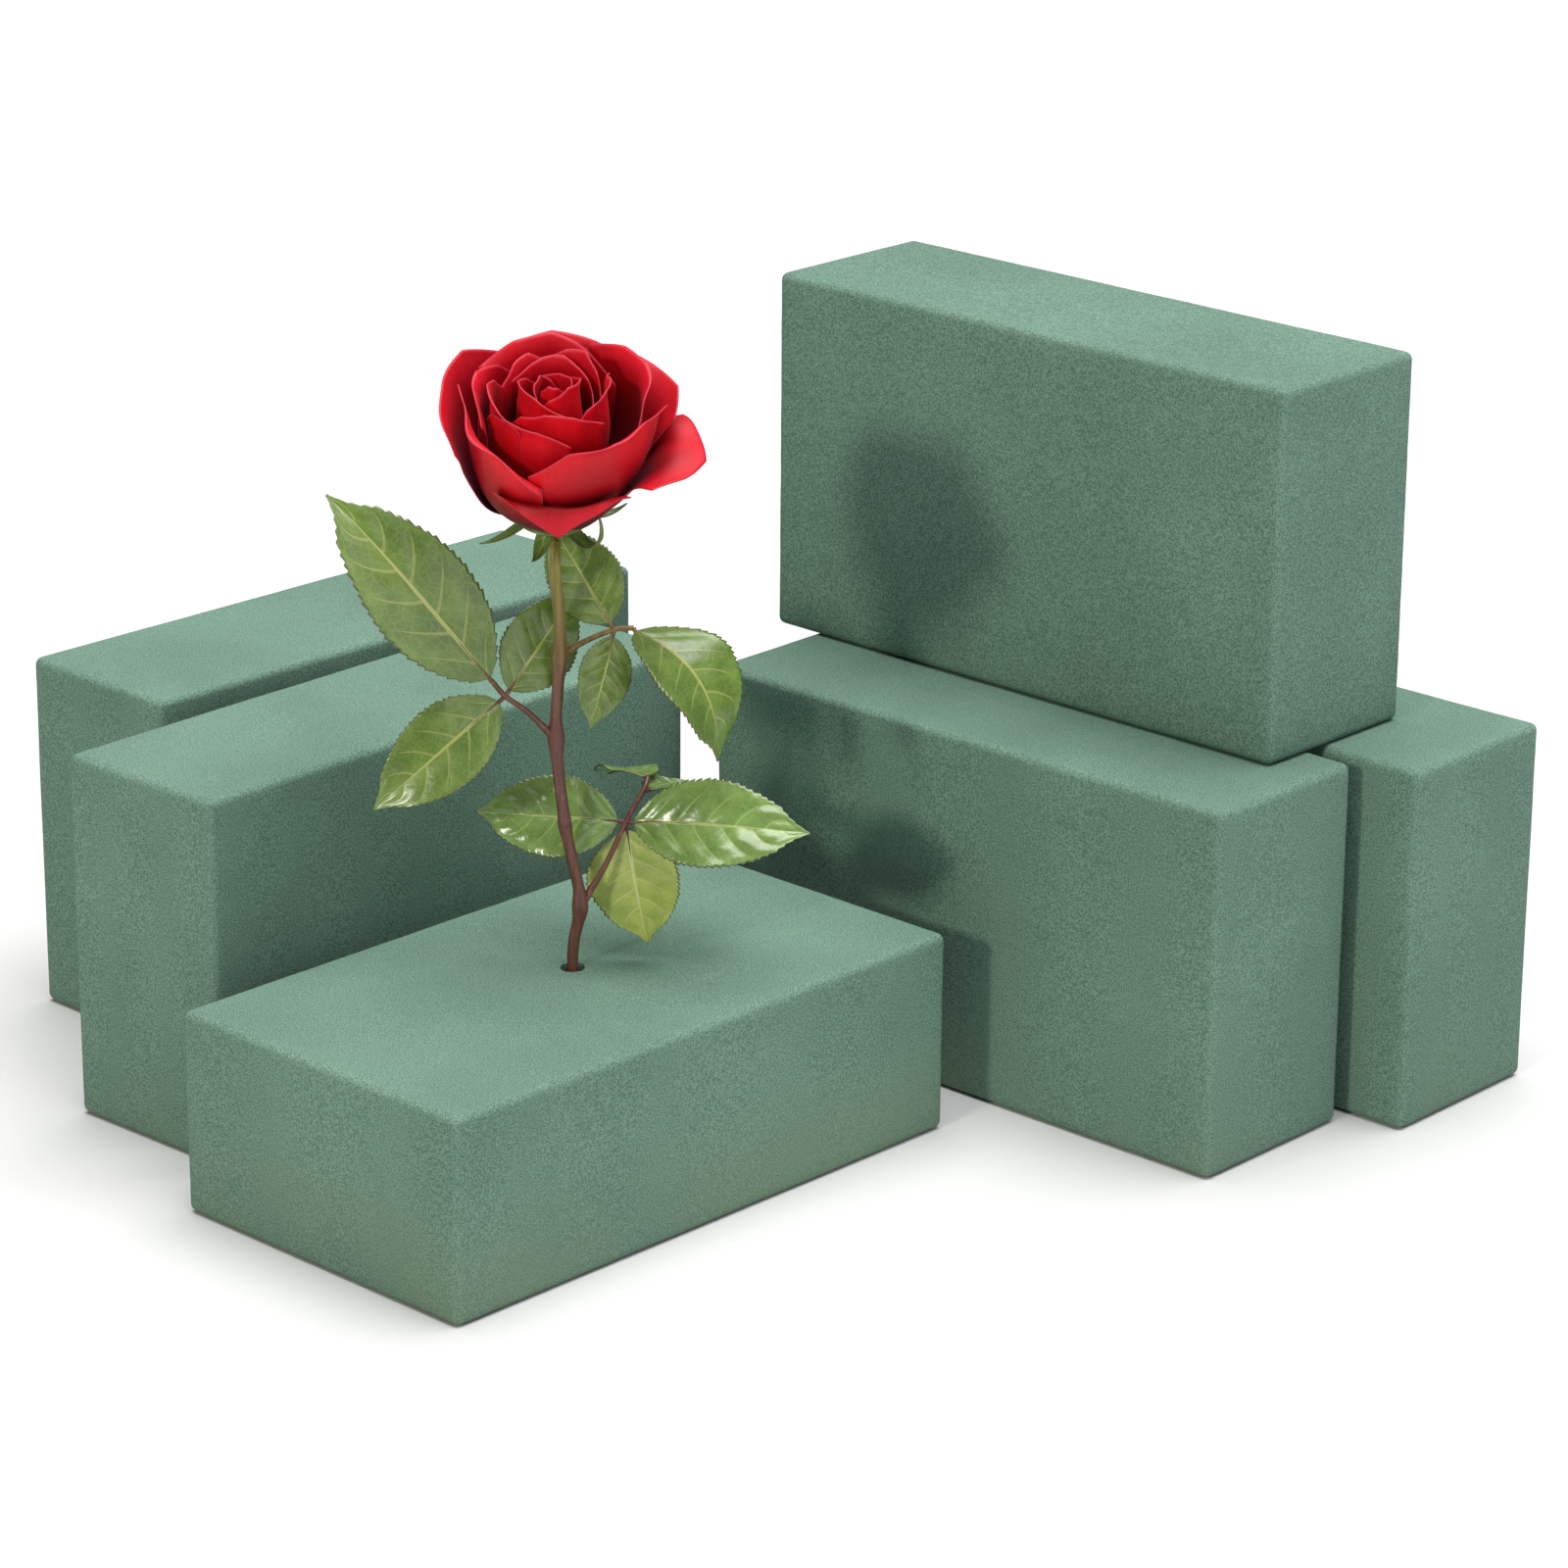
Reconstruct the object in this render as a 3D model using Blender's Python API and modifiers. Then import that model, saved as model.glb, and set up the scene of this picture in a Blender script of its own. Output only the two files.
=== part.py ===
"""Six floral foam bricks, one of them holding a cut rose.

Units are metres, +Z is up and the bricks stand on Z = 0, with the footprint centred on the origin.
The flat brick and the two left bricks run along Y, and the other three run along X.
"""

import math

import bmesh
import bpy
from mathutils import Matrix, Vector

MM = 0.001

# Foam brick, as cut
BRICK_LENGTH = 230 * MM
BRICK_WIDTH = 132 * MM
BRICK_THICKNESS = 72 * MM
EDGE_RADIUS = 4 * MM
EDGE_SEGMENTS = 3
TOUCH_GAP = 0.3 * MM

# Gaps and steps of the stack
LEFT_FRONT_GAP = 22 * MM
LEFT_FRONT_STEP = 31 * MM
LEFT_BACK_GAP = 15 * MM
LEFT_BACK_STEP = 58 * MM
RIGHT_FRONT_GAP = 26 * MM
RIGHT_END_GAP = 20 * MM
RIGHT_BACK_GAP = 7 * MM
RIGHT_BACK_STEP = 21 * MM
TOP_SHIFT_ALONG = -17 * MM
TOP_SHIFT_ACROSS = 9.5 * MM

# How far each brick is turned from square, in degrees
FLAT_TURN = -0.5
LEFT_FRONT_TURN = 1.0
LEFT_BACK_TURN = -1.0
RIGHT_FRONT_TURN = 0.5
RIGHT_BACK_TURN = 1.0

# Stem hole in the flat brick
HOLE_RADIUS = 3.9 * MM
HOLE_DEPTH = 52 * MM
HOLE_SIDES = 24
HOLE_OFFSET_X = -2 * MM
HOLE_OFFSET_Y = 2.5 * MM
HOLE_FLOOR_GAP = 3 * MM

# Rose stem. Points are (right, back, up) from the mouth of the hole, in millimetres.
ROSE_TURN = 43.0
STEM_RADIUS = 1.95 * MM
STEM_TOP_RADIUS = 2.3 * MM
STEM_POINTS = ((0, 0, 0), (0.4, 0, 9), (2.6, 0, 25), (-2.2, 0, 51), (-5, 0, 83), (-3.4, 0, 116), (-5, 0, 140))
STEM_STEPS = 4
STEM_BEVEL_RESOLUTION = 2

# Hip and bloom. The hip's top is a cone that falls away by DOME_SLOPE, and the petals stand on it.
BLOOM_TILT = 20.0
BLOOM_RISE = 170 * MM
BLOOM_RIGHT = -5 * MM
BLOOM_FORWARD = 4 * MM
HIP_LENGTH = 18 * MM
NECK_LENGTH = 4 * MM
HIP_RADIUS = 6 * MM
HIP_LIP = 2.5 * MM
HIP_SIDES = 24
MERGE_DISTANCE = 0.01 * MM
DOME_SLOPE = 0.8
PETAL_THICKNESS = 0.4 * MM
PETAL_GAP = 0.4 * MM
PETAL_OVERLAP = 0.35
PETAL_BASE_RADIUS = 1.6 * MM
PETAL_SHOULDER = 0.2
PETAL_POINT = 0.05
PETAL_FLARE = 0.5
PETAL_COLUMNS = 6
PETAL_ROWS = 8

# The closed petals, ring by ring: number of petals, first direction in degrees, then the bow of each
# petal as (radius, height) in millimetres: two handles and the rim. Directions run from the right (0)
# over the back (90).
PETAL_RINGS = (
    (3, 20.0, ((7, 10), (6.5, 28), (3.6, 41))),
    (3, 75.0, ((13, 8), (13, 26), (10.5, 43))),
    (5, 50.0, ((20, 4), (20, 25), (18.5, 42.5))),
    (5, 20.0, ((29, -2), (26, 22), (29, 40))),
)

# The open petals: direction, half of the angle they span, ring outside the last one, share of the bow
# that they reach up, and the bow
OPEN_BOW = ((36, -8), (32, 18), (43, 37))
OPEN_PETALS = (
    (160.0, 38.0, 0, 1.0, OPEN_BOW),
    (97.0, 38.0, 0, 0.98, OPEN_BOW),
    (36.0, 38.0, 0, 0.95, OPEN_BOW),
    (226.0, 38.0, 0, 0.86, OPEN_BOW),
    (349.0, 34.0, 1, 1.0, ((38, -14), (36, 4), (48, 11))),
    (275.0, 36.0, 1, 1.0, ((32, -14), (36, 12), (36, 1))),
)

# Sepals: direction in degrees, how far each one hangs from level, and its share of the full length
SEPAL_THICKNESS = 0.6 * MM
SEPAL_WIDTH = 6 * MM
SEPAL_LENGTH = 20 * MM
SEPAL_ARCH = 0.08
SEPALS = ((182.0, 40.0, 1.0), (250.0, 48.0, 0.8), (318.0, 46.0, 0.9), (30.0, 32.0, 1.0), (112.0, 30.0, 0.9))

# Leaves
STALK_RADIUS = 0.9 * MM
STALK_STEPS = 3
STALK_BEVEL_RESOLUTION = 1
LEAF_THICKNESS = 0.6 * MM
LEAF_FOLD = 0.12
LEAF_FOOT = 0.1
LEAF_FULLNESS = 0.8
LEAF_COLUMNS = 4
LEAF_ROWS = 8
JOIN_GAP = 0.5 * MM

# Each leaf: the height it leaves the stem at, its stalk's further points, and its leaflets as (name,
# number of the stalk point it grows from, tip, face, width, arch). Points are (right, back, up) in
# millimetres.
LEAVES = {
    "upper_left": (
        81,
        ((-14, -2, 91), (-21.5, -3, 97), (-25.8, -3.8, 102.5)),
        (
            ("end", 2, (-80, 6, 163), (0.25, -0.9, 0.45), 36, 0.06),
            ("lower", 1, (-64.7, -18, 62), (0.1, -0.9, 0.5), 28, 0.06),
            ("inner", 1, (0, 20, 126), (0.3, -0.9, 0.4), 25, 0.02),
        ),
    ),
    "upper_right": (
        110,
        ((4.6, 3, 114.3), (14.2, 6, 117.5), (20.5, 7.6, 117.6)),
        (
            ("upper", 1, (-7, 19, 150), (0.3, -0.9, 0.1), 25, -0.03),
            ("lower", 1, (6.5, -6, 87), (0.3, -0.9, 0.3), 18, 0.05),
            ("end", 2, (48.7, -8, 76.7), (0.7, -0.5, 0.6), 36, 0.22),
        ),
    ),
    "lower": (
        22,
        ((10.9, 4, 35), (17.7, 10, 48.6), (23.4, 18, 57), (24.8, 23, 60)),
        (
            ("left", 1, (-33, 17, 49.5), (0, -0.9, 0.43), 28, 0.05),
            ("right", 1, (79.5, 0, 48.5), (0, -0.8, 0.6), 31, 0.06),
            ("front", 1, (25, 8, 6), (-0.2, -0.9, 0.1), 32, 0.02),
            ("back_left", 3, (8, 51, 50), (0, 0.3, 1), 20, 0.08),
            ("back_right", 2, (45, 44, 49), (0.1, 0.3, 1), 20, 0.06),
        ),
    ),
}

COLOURS = {
    "foam": ((0.16, 0.29, 0.22, 1.0), 0.95),
    "stem": ((0.13, 0.05, 0.035, 1.0), 0.5),
    "green": ((0.12, 0.22, 0.05, 1.0), 0.45),
    "petal": ((0.62, 0.01, 0.02, 1.0), 0.5),
}


def clear_scene():
    """Remove everything that is already in the file."""
    for scene_object in list(bpy.data.objects):
        bpy.data.objects.remove(scene_object, do_unlink=True)


def new_collection(name):
    """Make a collection under the scene."""
    collection = bpy.data.collections.new(name)
    bpy.context.scene.collection.children.link(collection)
    return collection


clear_scene()
PARTS = new_collection("floral_foam_bricks")
CUTTERS = new_collection("cutters")


def material(name):
    """Return the named finish, made once."""
    found = bpy.data.materials.get(name)
    if found:
        return found
    colour, roughness = COLOURS[name]
    finish = bpy.data.materials.new(name)
    finish.use_nodes = True
    shader = finish.node_tree.nodes["Principled BSDF"]
    shader.inputs["Base Color"].default_value = colour
    shader.inputs["Roughness"].default_value = roughness
    shader.inputs["Metallic"].default_value = 0.0
    finish.diffuse_color = colour
    return finish


def add_object(name, data, finish, parent=None):
    """Put mesh or curve data in the parts collection under its node name."""
    part = bpy.data.objects.new(name, data)
    PARTS.objects.link(part)
    data.materials.append(material(finish))
    part.parent = parent
    return part


def add_empty(name, location, turn=0.0, tilt=0.0, parent=None):
    """Add an empty that carries the pieces of one moving group."""
    empty = bpy.data.objects.new(name, None)
    PARTS.objects.link(empty)
    empty.location = location
    empty.rotation_euler = (math.radians(tilt), 0.0, math.radians(turn))
    empty.parent = parent
    return empty


def mesh_from(build, name):
    """Run one bmesh recipe and return its mesh."""
    mesh = bpy.data.meshes.new(name)
    shape = bmesh.new()
    build(shape)
    shape.to_mesh(mesh)
    shape.free()
    return mesh


# ---- foam bricks -----------------------------------------------------------------------------


def brick_sizes():
    """Return (x, y, z) sizes of a brick lying along Y, standing along Y and standing along X."""
    lying = Vector((BRICK_WIDTH, BRICK_LENGTH, BRICK_THICKNESS))
    standing_y = Vector((BRICK_THICKNESS, BRICK_LENGTH, BRICK_WIDTH))
    standing_x = Vector((BRICK_LENGTH, BRICK_THICKNESS, BRICK_WIDTH))
    return lying, standing_y, standing_x


def brick_layout():
    """Place the six bricks by their gaps, then centre the footprint on the origin."""
    lying, standing_y, standing_x = brick_sizes()
    flat = Vector((0.0, 0.0, lying.z / 2))
    left_front = Vector((
        -lying.x / 2 - LEFT_FRONT_GAP - standing_y.x / 2,
        LEFT_FRONT_STEP,
        standing_y.z / 2,
    ))
    left_back = left_front + Vector((-standing_y.x - LEFT_BACK_GAP, LEFT_BACK_STEP, 0.0))
    right_front = Vector((
        left_front.x + standing_y.x / 2 + RIGHT_END_GAP + standing_x.x / 2,
        lying.y / 2 + RIGHT_FRONT_GAP + standing_x.y / 2,
        standing_x.z / 2,
    ))
    right_back = right_front + Vector((RIGHT_BACK_STEP, standing_x.y + RIGHT_BACK_GAP, 0.0))
    between_rights = (right_front.y + right_back.y) / 2
    top = Vector((
        right_front.x + TOP_SHIFT_ALONG,
        between_rights + TOP_SHIFT_ACROSS,
        standing_x.z + TOUCH_GAP + standing_x.z / 2,
    ))
    places = {
        "brick_flat": (flat, lying, FLAT_TURN),
        "brick_left_front": (left_front, standing_y, LEFT_FRONT_TURN),
        "brick_left_back": (left_back, standing_y, LEFT_BACK_TURN),
        "brick_right_front": (right_front, standing_x, RIGHT_FRONT_TURN),
        "brick_right_back": (right_back, standing_x, RIGHT_BACK_TURN),
        "brick_top": (top, standing_x, 0.0),
    }
    middle = footprint_middle(places.values())
    return {name: (centre - middle, size, turn) for name, (centre, size, turn) in places.items()}


def footprint_middle(places):
    """Return the middle of the rectangle on the ground that holds every brick."""
    xs, ys = [], []
    for centre, size, turn in places:
        angle = math.radians(turn)
        reach_x = size.x / 2 * math.cos(angle) + size.y / 2 * abs(math.sin(angle))
        reach_y = size.y / 2 * math.cos(angle) + size.x / 2 * abs(math.sin(angle))
        xs += [centre.x - reach_x, centre.x + reach_x]
        ys += [centre.y - reach_y, centre.y + reach_y]
    return Vector(((min(xs) + max(xs)) / 2, (min(ys) + max(ys)) / 2, 0.0))


def add_brick(name, centre, size, turn):
    """Add one block of foam with softened edges."""

    def build(shape):
        bmesh.ops.create_cube(shape, size=1.0)
        bmesh.ops.scale(shape, vec=size, verts=shape.verts)

    brick = add_object(name, mesh_from(build, name), "foam")
    brick.location = centre
    brick.rotation_euler.z = math.radians(turn)
    rounding = brick.modifiers.new("softened_edges", "BEVEL")
    rounding.width = EDGE_RADIUS
    rounding.segments = EDGE_SEGMENTS
    rounding.limit_method = "NONE"
    return brick


def cut_stem_hole(brick, size):
    """Cut the blind hole that the stem stands in."""

    def build(shape):
        bmesh.ops.create_cone(
            shape,
            cap_ends=True,
            segments=HOLE_SIDES,
            radius1=HOLE_RADIUS,
            radius2=HOLE_RADIUS,
            depth=2 * HOLE_DEPTH,
        )

    cutter = bpy.data.objects.new("stem_hole_cutter", mesh_from(build, "stem_hole_cutter"))
    CUTTERS.objects.link(cutter)
    cutter.parent = brick
    cutter.location = (HOLE_OFFSET_X, HOLE_OFFSET_Y, size.z / 2)
    cutter.hide_render = True
    cutter.display_type = "WIRE"
    hole = brick.modifiers.new("stem_hole", "BOOLEAN")
    hole.operation = "DIFFERENCE"
    hole.solver = "EXACT"
    hole.object = cutter


def hole_mouth(centre, size, turn):
    """Return the middle of the hole's mouth, on the brick's top face."""
    offset = Vector((HOLE_OFFSET_X, HOLE_OFFSET_Y, size.z / 2))
    return centre + Matrix.Rotation(math.radians(turn), 3, "Z") @ offset


# ---- smooth lines and tubes ------------------------------------------------------------------


def smooth_line(points, steps):
    """Return a Catmull-Rom line through the points, with some steps in each span."""
    ends = [2 * points[0] - points[1], *points, 2 * points[-1] - points[-2]]
    line = []
    for a, b, c, d in zip(ends, ends[1:], ends[2:], ends[3:]):
        for step in range(steps):
            t = step / steps
            cubic = (3 * (b - c) + d - a) * t**3
            square = (2 * a - 5 * b + 4 * c - d) * t**2
            line.append((2 * b + (c - a) * t + square + cubic) / 2)
    return [*line, points[-1]]


def add_tube(name, line, radii, finish, parent, resolution):
    """Add a round tube along a line, with its radius at each point."""
    curve = bpy.data.curves.new(name, "CURVE")
    curve.dimensions = "3D"
    curve.bevel_depth = 1.0
    curve.bevel_resolution = resolution
    curve.use_fill_caps = True
    spline = curve.splines.new("POLY")
    spline.points.add(len(line) - 1)
    for point, place, radius in zip(spline.points, line, radii):
        point.co = (*place, 1.0)
        point.radius = radius
    return add_object(name, curve, finish, parent)


def stem_line():
    """Return the stem's centre line: straight down its hole, then up through its bends to the hip."""
    sunk = Vector((0.0, 0.0, HOLE_FLOOR_GAP - HOLE_DEPTH))
    rest = [Vector(point) * MM for point in STEM_POINTS]
    neck = [bloom_matrix() @ Vector((0.0, 0.0, -HIP_LENGTH - below)) for below in (NECK_LENGTH, TOUCH_GAP)]
    return [sunk, *smooth_line([*rest, neck[0]], STEM_STEPS), neck[1]]


def stem_radius(height):
    """Return the stem's radius at a height above the foam."""
    share = max(0.0, min(1.0, height / BLOOM_RISE))
    return STEM_RADIUS + (STEM_TOP_RADIUS - STEM_RADIUS) * share


def add_stem(parent):
    """Add the cut stem, from the floor of its hole to the hip."""
    line = stem_line()
    radii = [stem_radius(point.z) for point in line]
    return add_tube("rose_stem", line, radii, "stem", parent, STEM_BEVEL_RESOLUTION)


def stem_point(height):
    """Return the stem's centre at a height above the foam."""
    line = stem_line()
    for low, high in zip(line, line[1:]):
        if low.z <= height <= high.z:
            return low.lerp(high, (height - low.z) / (high.z - low.z))
    return line[-1]


# ---- bloom -----------------------------------------------------------------------------------


def bloom_matrix():
    """Return the bloom's place: its origin on the hip's top, its Z along the flower's axis."""
    place = Matrix.Translation((BLOOM_RIGHT, -BLOOM_FORWARD, BLOOM_RISE))
    return place @ Matrix.Rotation(math.radians(BLOOM_TILT), 4, "X")


def petal_pitch():
    """Return the spacing of one ring of petals at the base: its own tuck, a thickness and a gap."""
    return petal_tuck() + PETAL_THICKNESS + PETAL_GAP


def petal_tuck():
    """Return how far a petal moves outwards from its inner edge to its outer edge."""
    return (PETAL_THICKNESS + PETAL_GAP) * (1 + PETAL_OVERLAP)


def bow_point(start, bow, t):
    """Return a point on a petal's bow, a cubic curve in (radius, height)."""
    first, second, rim = (Vector(handle) * MM for handle in bow)
    s = 1 - t
    return s**3 * start + 3 * s**2 * t * first + 3 * s * t**2 * second + t**3 * rim


def petal_foot(radius):
    """Return where a petal starts, just above the hip's dome, as (radius, height)."""
    return Vector((radius, PETAL_THICKNESS + TOUCH_GAP - DOME_SLOPE * radius))


def add_petal(name, parent, direction, half_span, base_radius, reach, bow):
    """Add one petal: a patch of a bowed shell of revolution, tucked in under its neighbour."""
    foot = petal_foot(base_radius)
    outwards = Vector((1.0, -DOME_SLOPE)) * petal_tuck()

    def shaped(across, along):
        shoulder = PETAL_SHOULDER * across**4 + PETAL_POINT * abs(across) + 1 - reach
        profile = bow_point(foot, bow, along * (1 - shoulder * along**2))
        profile += outwards * (across + 1) / 2 * (1 + PETAL_FLARE * along)
        angle = math.radians(direction + half_span * across)
        return Vector((profile.x * math.cos(angle), profile.x * math.sin(angle), profile.y))

    def build(shape):
        bmesh.ops.create_grid(shape, x_segments=PETAL_COLUMNS, y_segments=PETAL_ROWS, size=1.0)
        for vertex in shape.verts:
            vertex.co = shaped(vertex.co.x, (vertex.co.y + 1) / 2)

    petal = add_object(name, mesh_from(build, name), "petal", parent)
    thicken(petal, PETAL_THICKNESS)
    return petal


def thicken(part, thickness):
    """Give an open surface its thickness, half on each side."""
    part.data.polygons.foreach_set("use_smooth", [True] * len(part.data.polygons))
    wall = part.modifiers.new("thickness", "SOLIDIFY")
    wall.thickness = thickness
    wall.offset = 0.0
    wall.use_even_offset = True


def add_petals(parent):
    """Add every petal, from the furled centre to the open outer ones."""
    petals = []
    for ring, (count, first, bow) in enumerate(PETAL_RINGS):
        half_span = 180 / count * (1 + PETAL_OVERLAP)
        petals += [(first + turn * 360 / count, half_span, ring, 1.0, bow) for turn in range(count)]
    for direction, half_span, outside, reach, bow in OPEN_PETALS:
        petals.append((direction, half_span, len(PETAL_RINGS) + outside, reach, bow))
    for number, (direction, half_span, ring, reach, bow) in enumerate(petals, start=1):
        base = PETAL_BASE_RADIUS + ring * petal_pitch()
        add_petal(f"petal_{number:02d}", parent, direction, half_span, base, reach, bow)


def petal_foot_radius():
    """Return the radius on the hip's dome that every petal's foot fits inside."""
    return PETAL_BASE_RADIUS + (len(PETAL_RINGS) + 2) * petal_pitch()


def add_hip(parent):
    """Add the hip, a turned swelling on the stem whose domed top the petals stand on."""
    lip = petal_foot_radius()
    under = -DOME_SLOPE * lip - HIP_LIP
    outline = (
        (0.0, 0.0),
        (lip, -DOME_SLOPE * lip),
        (lip, under + HIP_LIP / 2),
        (HIP_RADIUS, under),
        (HIP_RADIUS, (under - HIP_LENGTH) / 2),
        (STEM_TOP_RADIUS, -HIP_LENGTH),
        (0.0, -HIP_LENGTH),
    )

    def build(shape):
        ring = [shape.verts.new((radius, 0.0, height)) for radius, height in outline]
        for low, high in zip(ring, ring[1:]):
            shape.edges.new((low, high))

    hip = add_object("rose_hip", mesh_from(build, "rose_hip"), "green", parent)
    turn = hip.modifiers.new("turned", "SCREW")
    turn.steps = HIP_SIDES
    turn.render_steps = HIP_SIDES
    turn.use_merge_vertices = True
    turn.merge_threshold = MERGE_DISTANCE
    return hip


def add_sepals(parent):
    """Add the five green sepals that hang below the petals."""
    seat = HIP_RADIUS + JOIN_GAP + SEPAL_THICKNESS
    under = -DOME_SLOPE * petal_foot_radius() - HIP_LIP - SEPAL_THICKNESS - JOIN_GAP
    for number, (direction, hang, share) in enumerate(SEPALS, start=1):
        angle = math.radians(direction)
        drop = math.radians(hang)
        outward = Vector((math.cos(angle), math.sin(angle), 0.0))
        base = outward * seat + Vector((0, 0, under))
        reach = outward * math.cos(drop) - Vector((0, 0, math.sin(drop)))
        face = outward * math.sin(drop) + Vector((0, 0, math.cos(drop)))
        tip = base + reach * SEPAL_LENGTH * share
        add_blade(f"sepal_{number}", parent, base, tip, face, SEPAL_WIDTH, SEPAL_ARCH, SEPAL_THICKNESS)


# ---- leaves ----------------------------------------------------------------------------------


def leaf_outline(along):
    """Return a leaf's half width at a share of its length, as a share of the widest."""
    return max(LEAF_FOOT, math.sin(math.pi * along**LEAF_FULLNESS) ** LEAF_FULLNESS)


def add_blade(name, parent, base, tip, face, width, arch, thickness):
    """Add one green blade from base to tip, arched and lightly folded along its midrib."""
    chord = tip - base
    length = chord.length
    forward = chord.normalized()
    normal = (face - face.dot(forward) * forward).normalized()
    side = forward.cross(normal)

    def build(shape):
        bmesh.ops.create_grid(shape, x_segments=LEAF_COLUMNS, y_segments=LEAF_ROWS, size=1.0)
        for vertex in shape.verts:
            along = (vertex.co.y + 1) / 2
            half = width / 2 * leaf_outline(along)
            lift = arch * length * 4 * along * (1 - along) + LEAF_FOLD * half * abs(vertex.co.x)
            vertex.co = base + chord * along + side * half * vertex.co.x + normal * lift

    leaf = add_object(name, mesh_from(build, name), "green", parent)
    thicken(leaf, thickness)
    return leaf


def leaflet_base(line, number, tip, width):
    """Return where a leaflet starts: clear of its stalk, on the way from its stalk point to its tip."""
    joint = line[number]
    clear = STALK_RADIUS + JOIN_GAP
    if number < len(line) - 1:
        clear += LEAF_FOOT * width / 2
    return joint + (tip - joint).normalized() * clear


def add_leaves(parent):
    """Add the three leaves, each a stalk and its leaflets."""
    for leaf, (height, points, leaflets) in LEAVES.items():
        line = [Vector(point) * MM for point in points]
        stem = stem_point(height * MM)
        away = Vector((line[0].x - stem.x, line[0].y - stem.y, 0.0)).normalized()
        start = stem + away * (stem_radius(height * MM) + STALK_RADIUS + JOIN_GAP)
        stalk = smooth_line([start, *line], STALK_STEPS)
        radii = [STALK_RADIUS] * len(stalk)
        add_tube(f"leaf_{leaf}_stalk", stalk, radii, "stem", parent, STALK_BEVEL_RESOLUTION)
        for part, number, tip, face, width, arch in leaflets:
            tip = Vector(tip) * MM
            base = leaflet_base(line, number, tip, width * MM)
            name = f"leaf_{leaf}_{part}"
            add_blade(name, parent, base, tip, Vector(face), width * MM, arch, LEAF_THICKNESS)


# ---- assembly --------------------------------------------------------------------------------


def main():
    """Build the six bricks, then the rose in its hole."""
    layout = brick_layout()
    for name, (centre, size, turn) in layout.items():
        brick = add_brick(name, centre, size, turn)
        if name == "brick_flat":
            cut_stem_hole(brick, size)
    rose = add_empty("rose_axis", hole_mouth(*layout["brick_flat"]), turn=ROSE_TURN)
    add_stem(rose)
    bloom = add_empty("bloom_axis", bloom_matrix().translation, tilt=BLOOM_TILT, parent=rose)
    add_hip(bloom)
    add_sepals(bloom)
    add_petals(bloom)
    add_leaves(rose)


main()
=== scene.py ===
"""Floral foam bricks and a cut rose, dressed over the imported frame.

Six bricks of floral foam stand and lie on a pale floor, and a red rose stands in a hole in the flat one.
The rose's own sizes are in millimetres, measured from the mouth of that hole: right, back and up.
"""

import logging
import math
from collections.abc import Callable, Iterable, Sequence
from dataclasses import dataclass
from enum import Enum

import bpy
from mathutils import Matrix, Vector, noise


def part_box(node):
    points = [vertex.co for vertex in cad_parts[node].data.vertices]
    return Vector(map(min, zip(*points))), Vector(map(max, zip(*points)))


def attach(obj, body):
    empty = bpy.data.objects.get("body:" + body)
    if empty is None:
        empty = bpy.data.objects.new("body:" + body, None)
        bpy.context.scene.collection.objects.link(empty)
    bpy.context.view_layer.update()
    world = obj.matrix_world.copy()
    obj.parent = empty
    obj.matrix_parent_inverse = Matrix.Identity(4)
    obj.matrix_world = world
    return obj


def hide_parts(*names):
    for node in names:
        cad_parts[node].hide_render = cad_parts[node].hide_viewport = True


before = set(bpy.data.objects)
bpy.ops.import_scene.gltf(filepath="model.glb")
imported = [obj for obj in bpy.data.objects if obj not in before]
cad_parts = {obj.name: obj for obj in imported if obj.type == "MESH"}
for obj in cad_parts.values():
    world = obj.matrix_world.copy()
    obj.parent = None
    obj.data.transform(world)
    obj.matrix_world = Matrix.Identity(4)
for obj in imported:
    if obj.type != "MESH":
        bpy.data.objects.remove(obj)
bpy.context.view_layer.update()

LOG = logging.getLogger("floral_foam")
MM = 0.001
Point = tuple[float, float, float]
Colour = tuple[float, float, float, float]
Run = tuple[Sequence[Vector], Sequence[float]]
Socket = bpy.types.NodeSocket
FOOT_BAND = 0.1 * MM
WELD = 0.01 * MM


# ---- at the bench: small helpers -------------------------------------------------------------


def deselect_all() -> None:
    """Leave object mode with nothing selected."""
    if bpy.context.object and bpy.context.object.mode != "OBJECT":
        bpy.ops.object.mode_set(mode="OBJECT")
    bpy.ops.object.select_all(action="DESELECT")


def take_up(piece: bpy.types.Object) -> None:
    """Select one piece alone and make it the active one.

    Args:
        piece: the piece.
    """
    deselect_all()
    piece.select_set(True)
    bpy.context.view_layer.objects.active = piece


def apply_modifiers(piece: bpy.types.Object) -> None:
    """Apply a piece's modifiers in order.

    Args:
        piece: the piece.
    """
    take_up(piece)
    for modifier in list(piece.modifiers):
        bpy.ops.object.modifier_apply(modifier=modifier.name)


def ease(value: float, low: float, high: float) -> float:
    """Return 0 below low, 1 above high, and a smooth step between them."""
    share = min(1.0, max(0.0, (value - low) / (high - low)))
    return share * share * (3.0 - 2.0 * share)


def smooth_line(points: Sequence[Vector], steps: int) -> list[Vector]:
    """Return a smooth line through some points.

    Args:
        points: the points that the line passes through.
        steps: how many stretches each span is cut into.

    Returns:
        The line's points, from the first to the last.
    """
    ends = [2 * points[0] - points[1], *points, 2 * points[-1] - points[-2]]
    line = []
    for a, b, c, d in zip(ends, ends[1:], ends[2:], ends[3:]):
        for step in range(steps):
            t = step / steps
            cubic = (3 * (b - c) + d - a) * t**3
            square = (2 * a - 5 * b + 4 * c - d) * t**2
            line.append((2 * b + (c - a) * t + square + cubic) / 2)
    return [*line, points[-1]]


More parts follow.
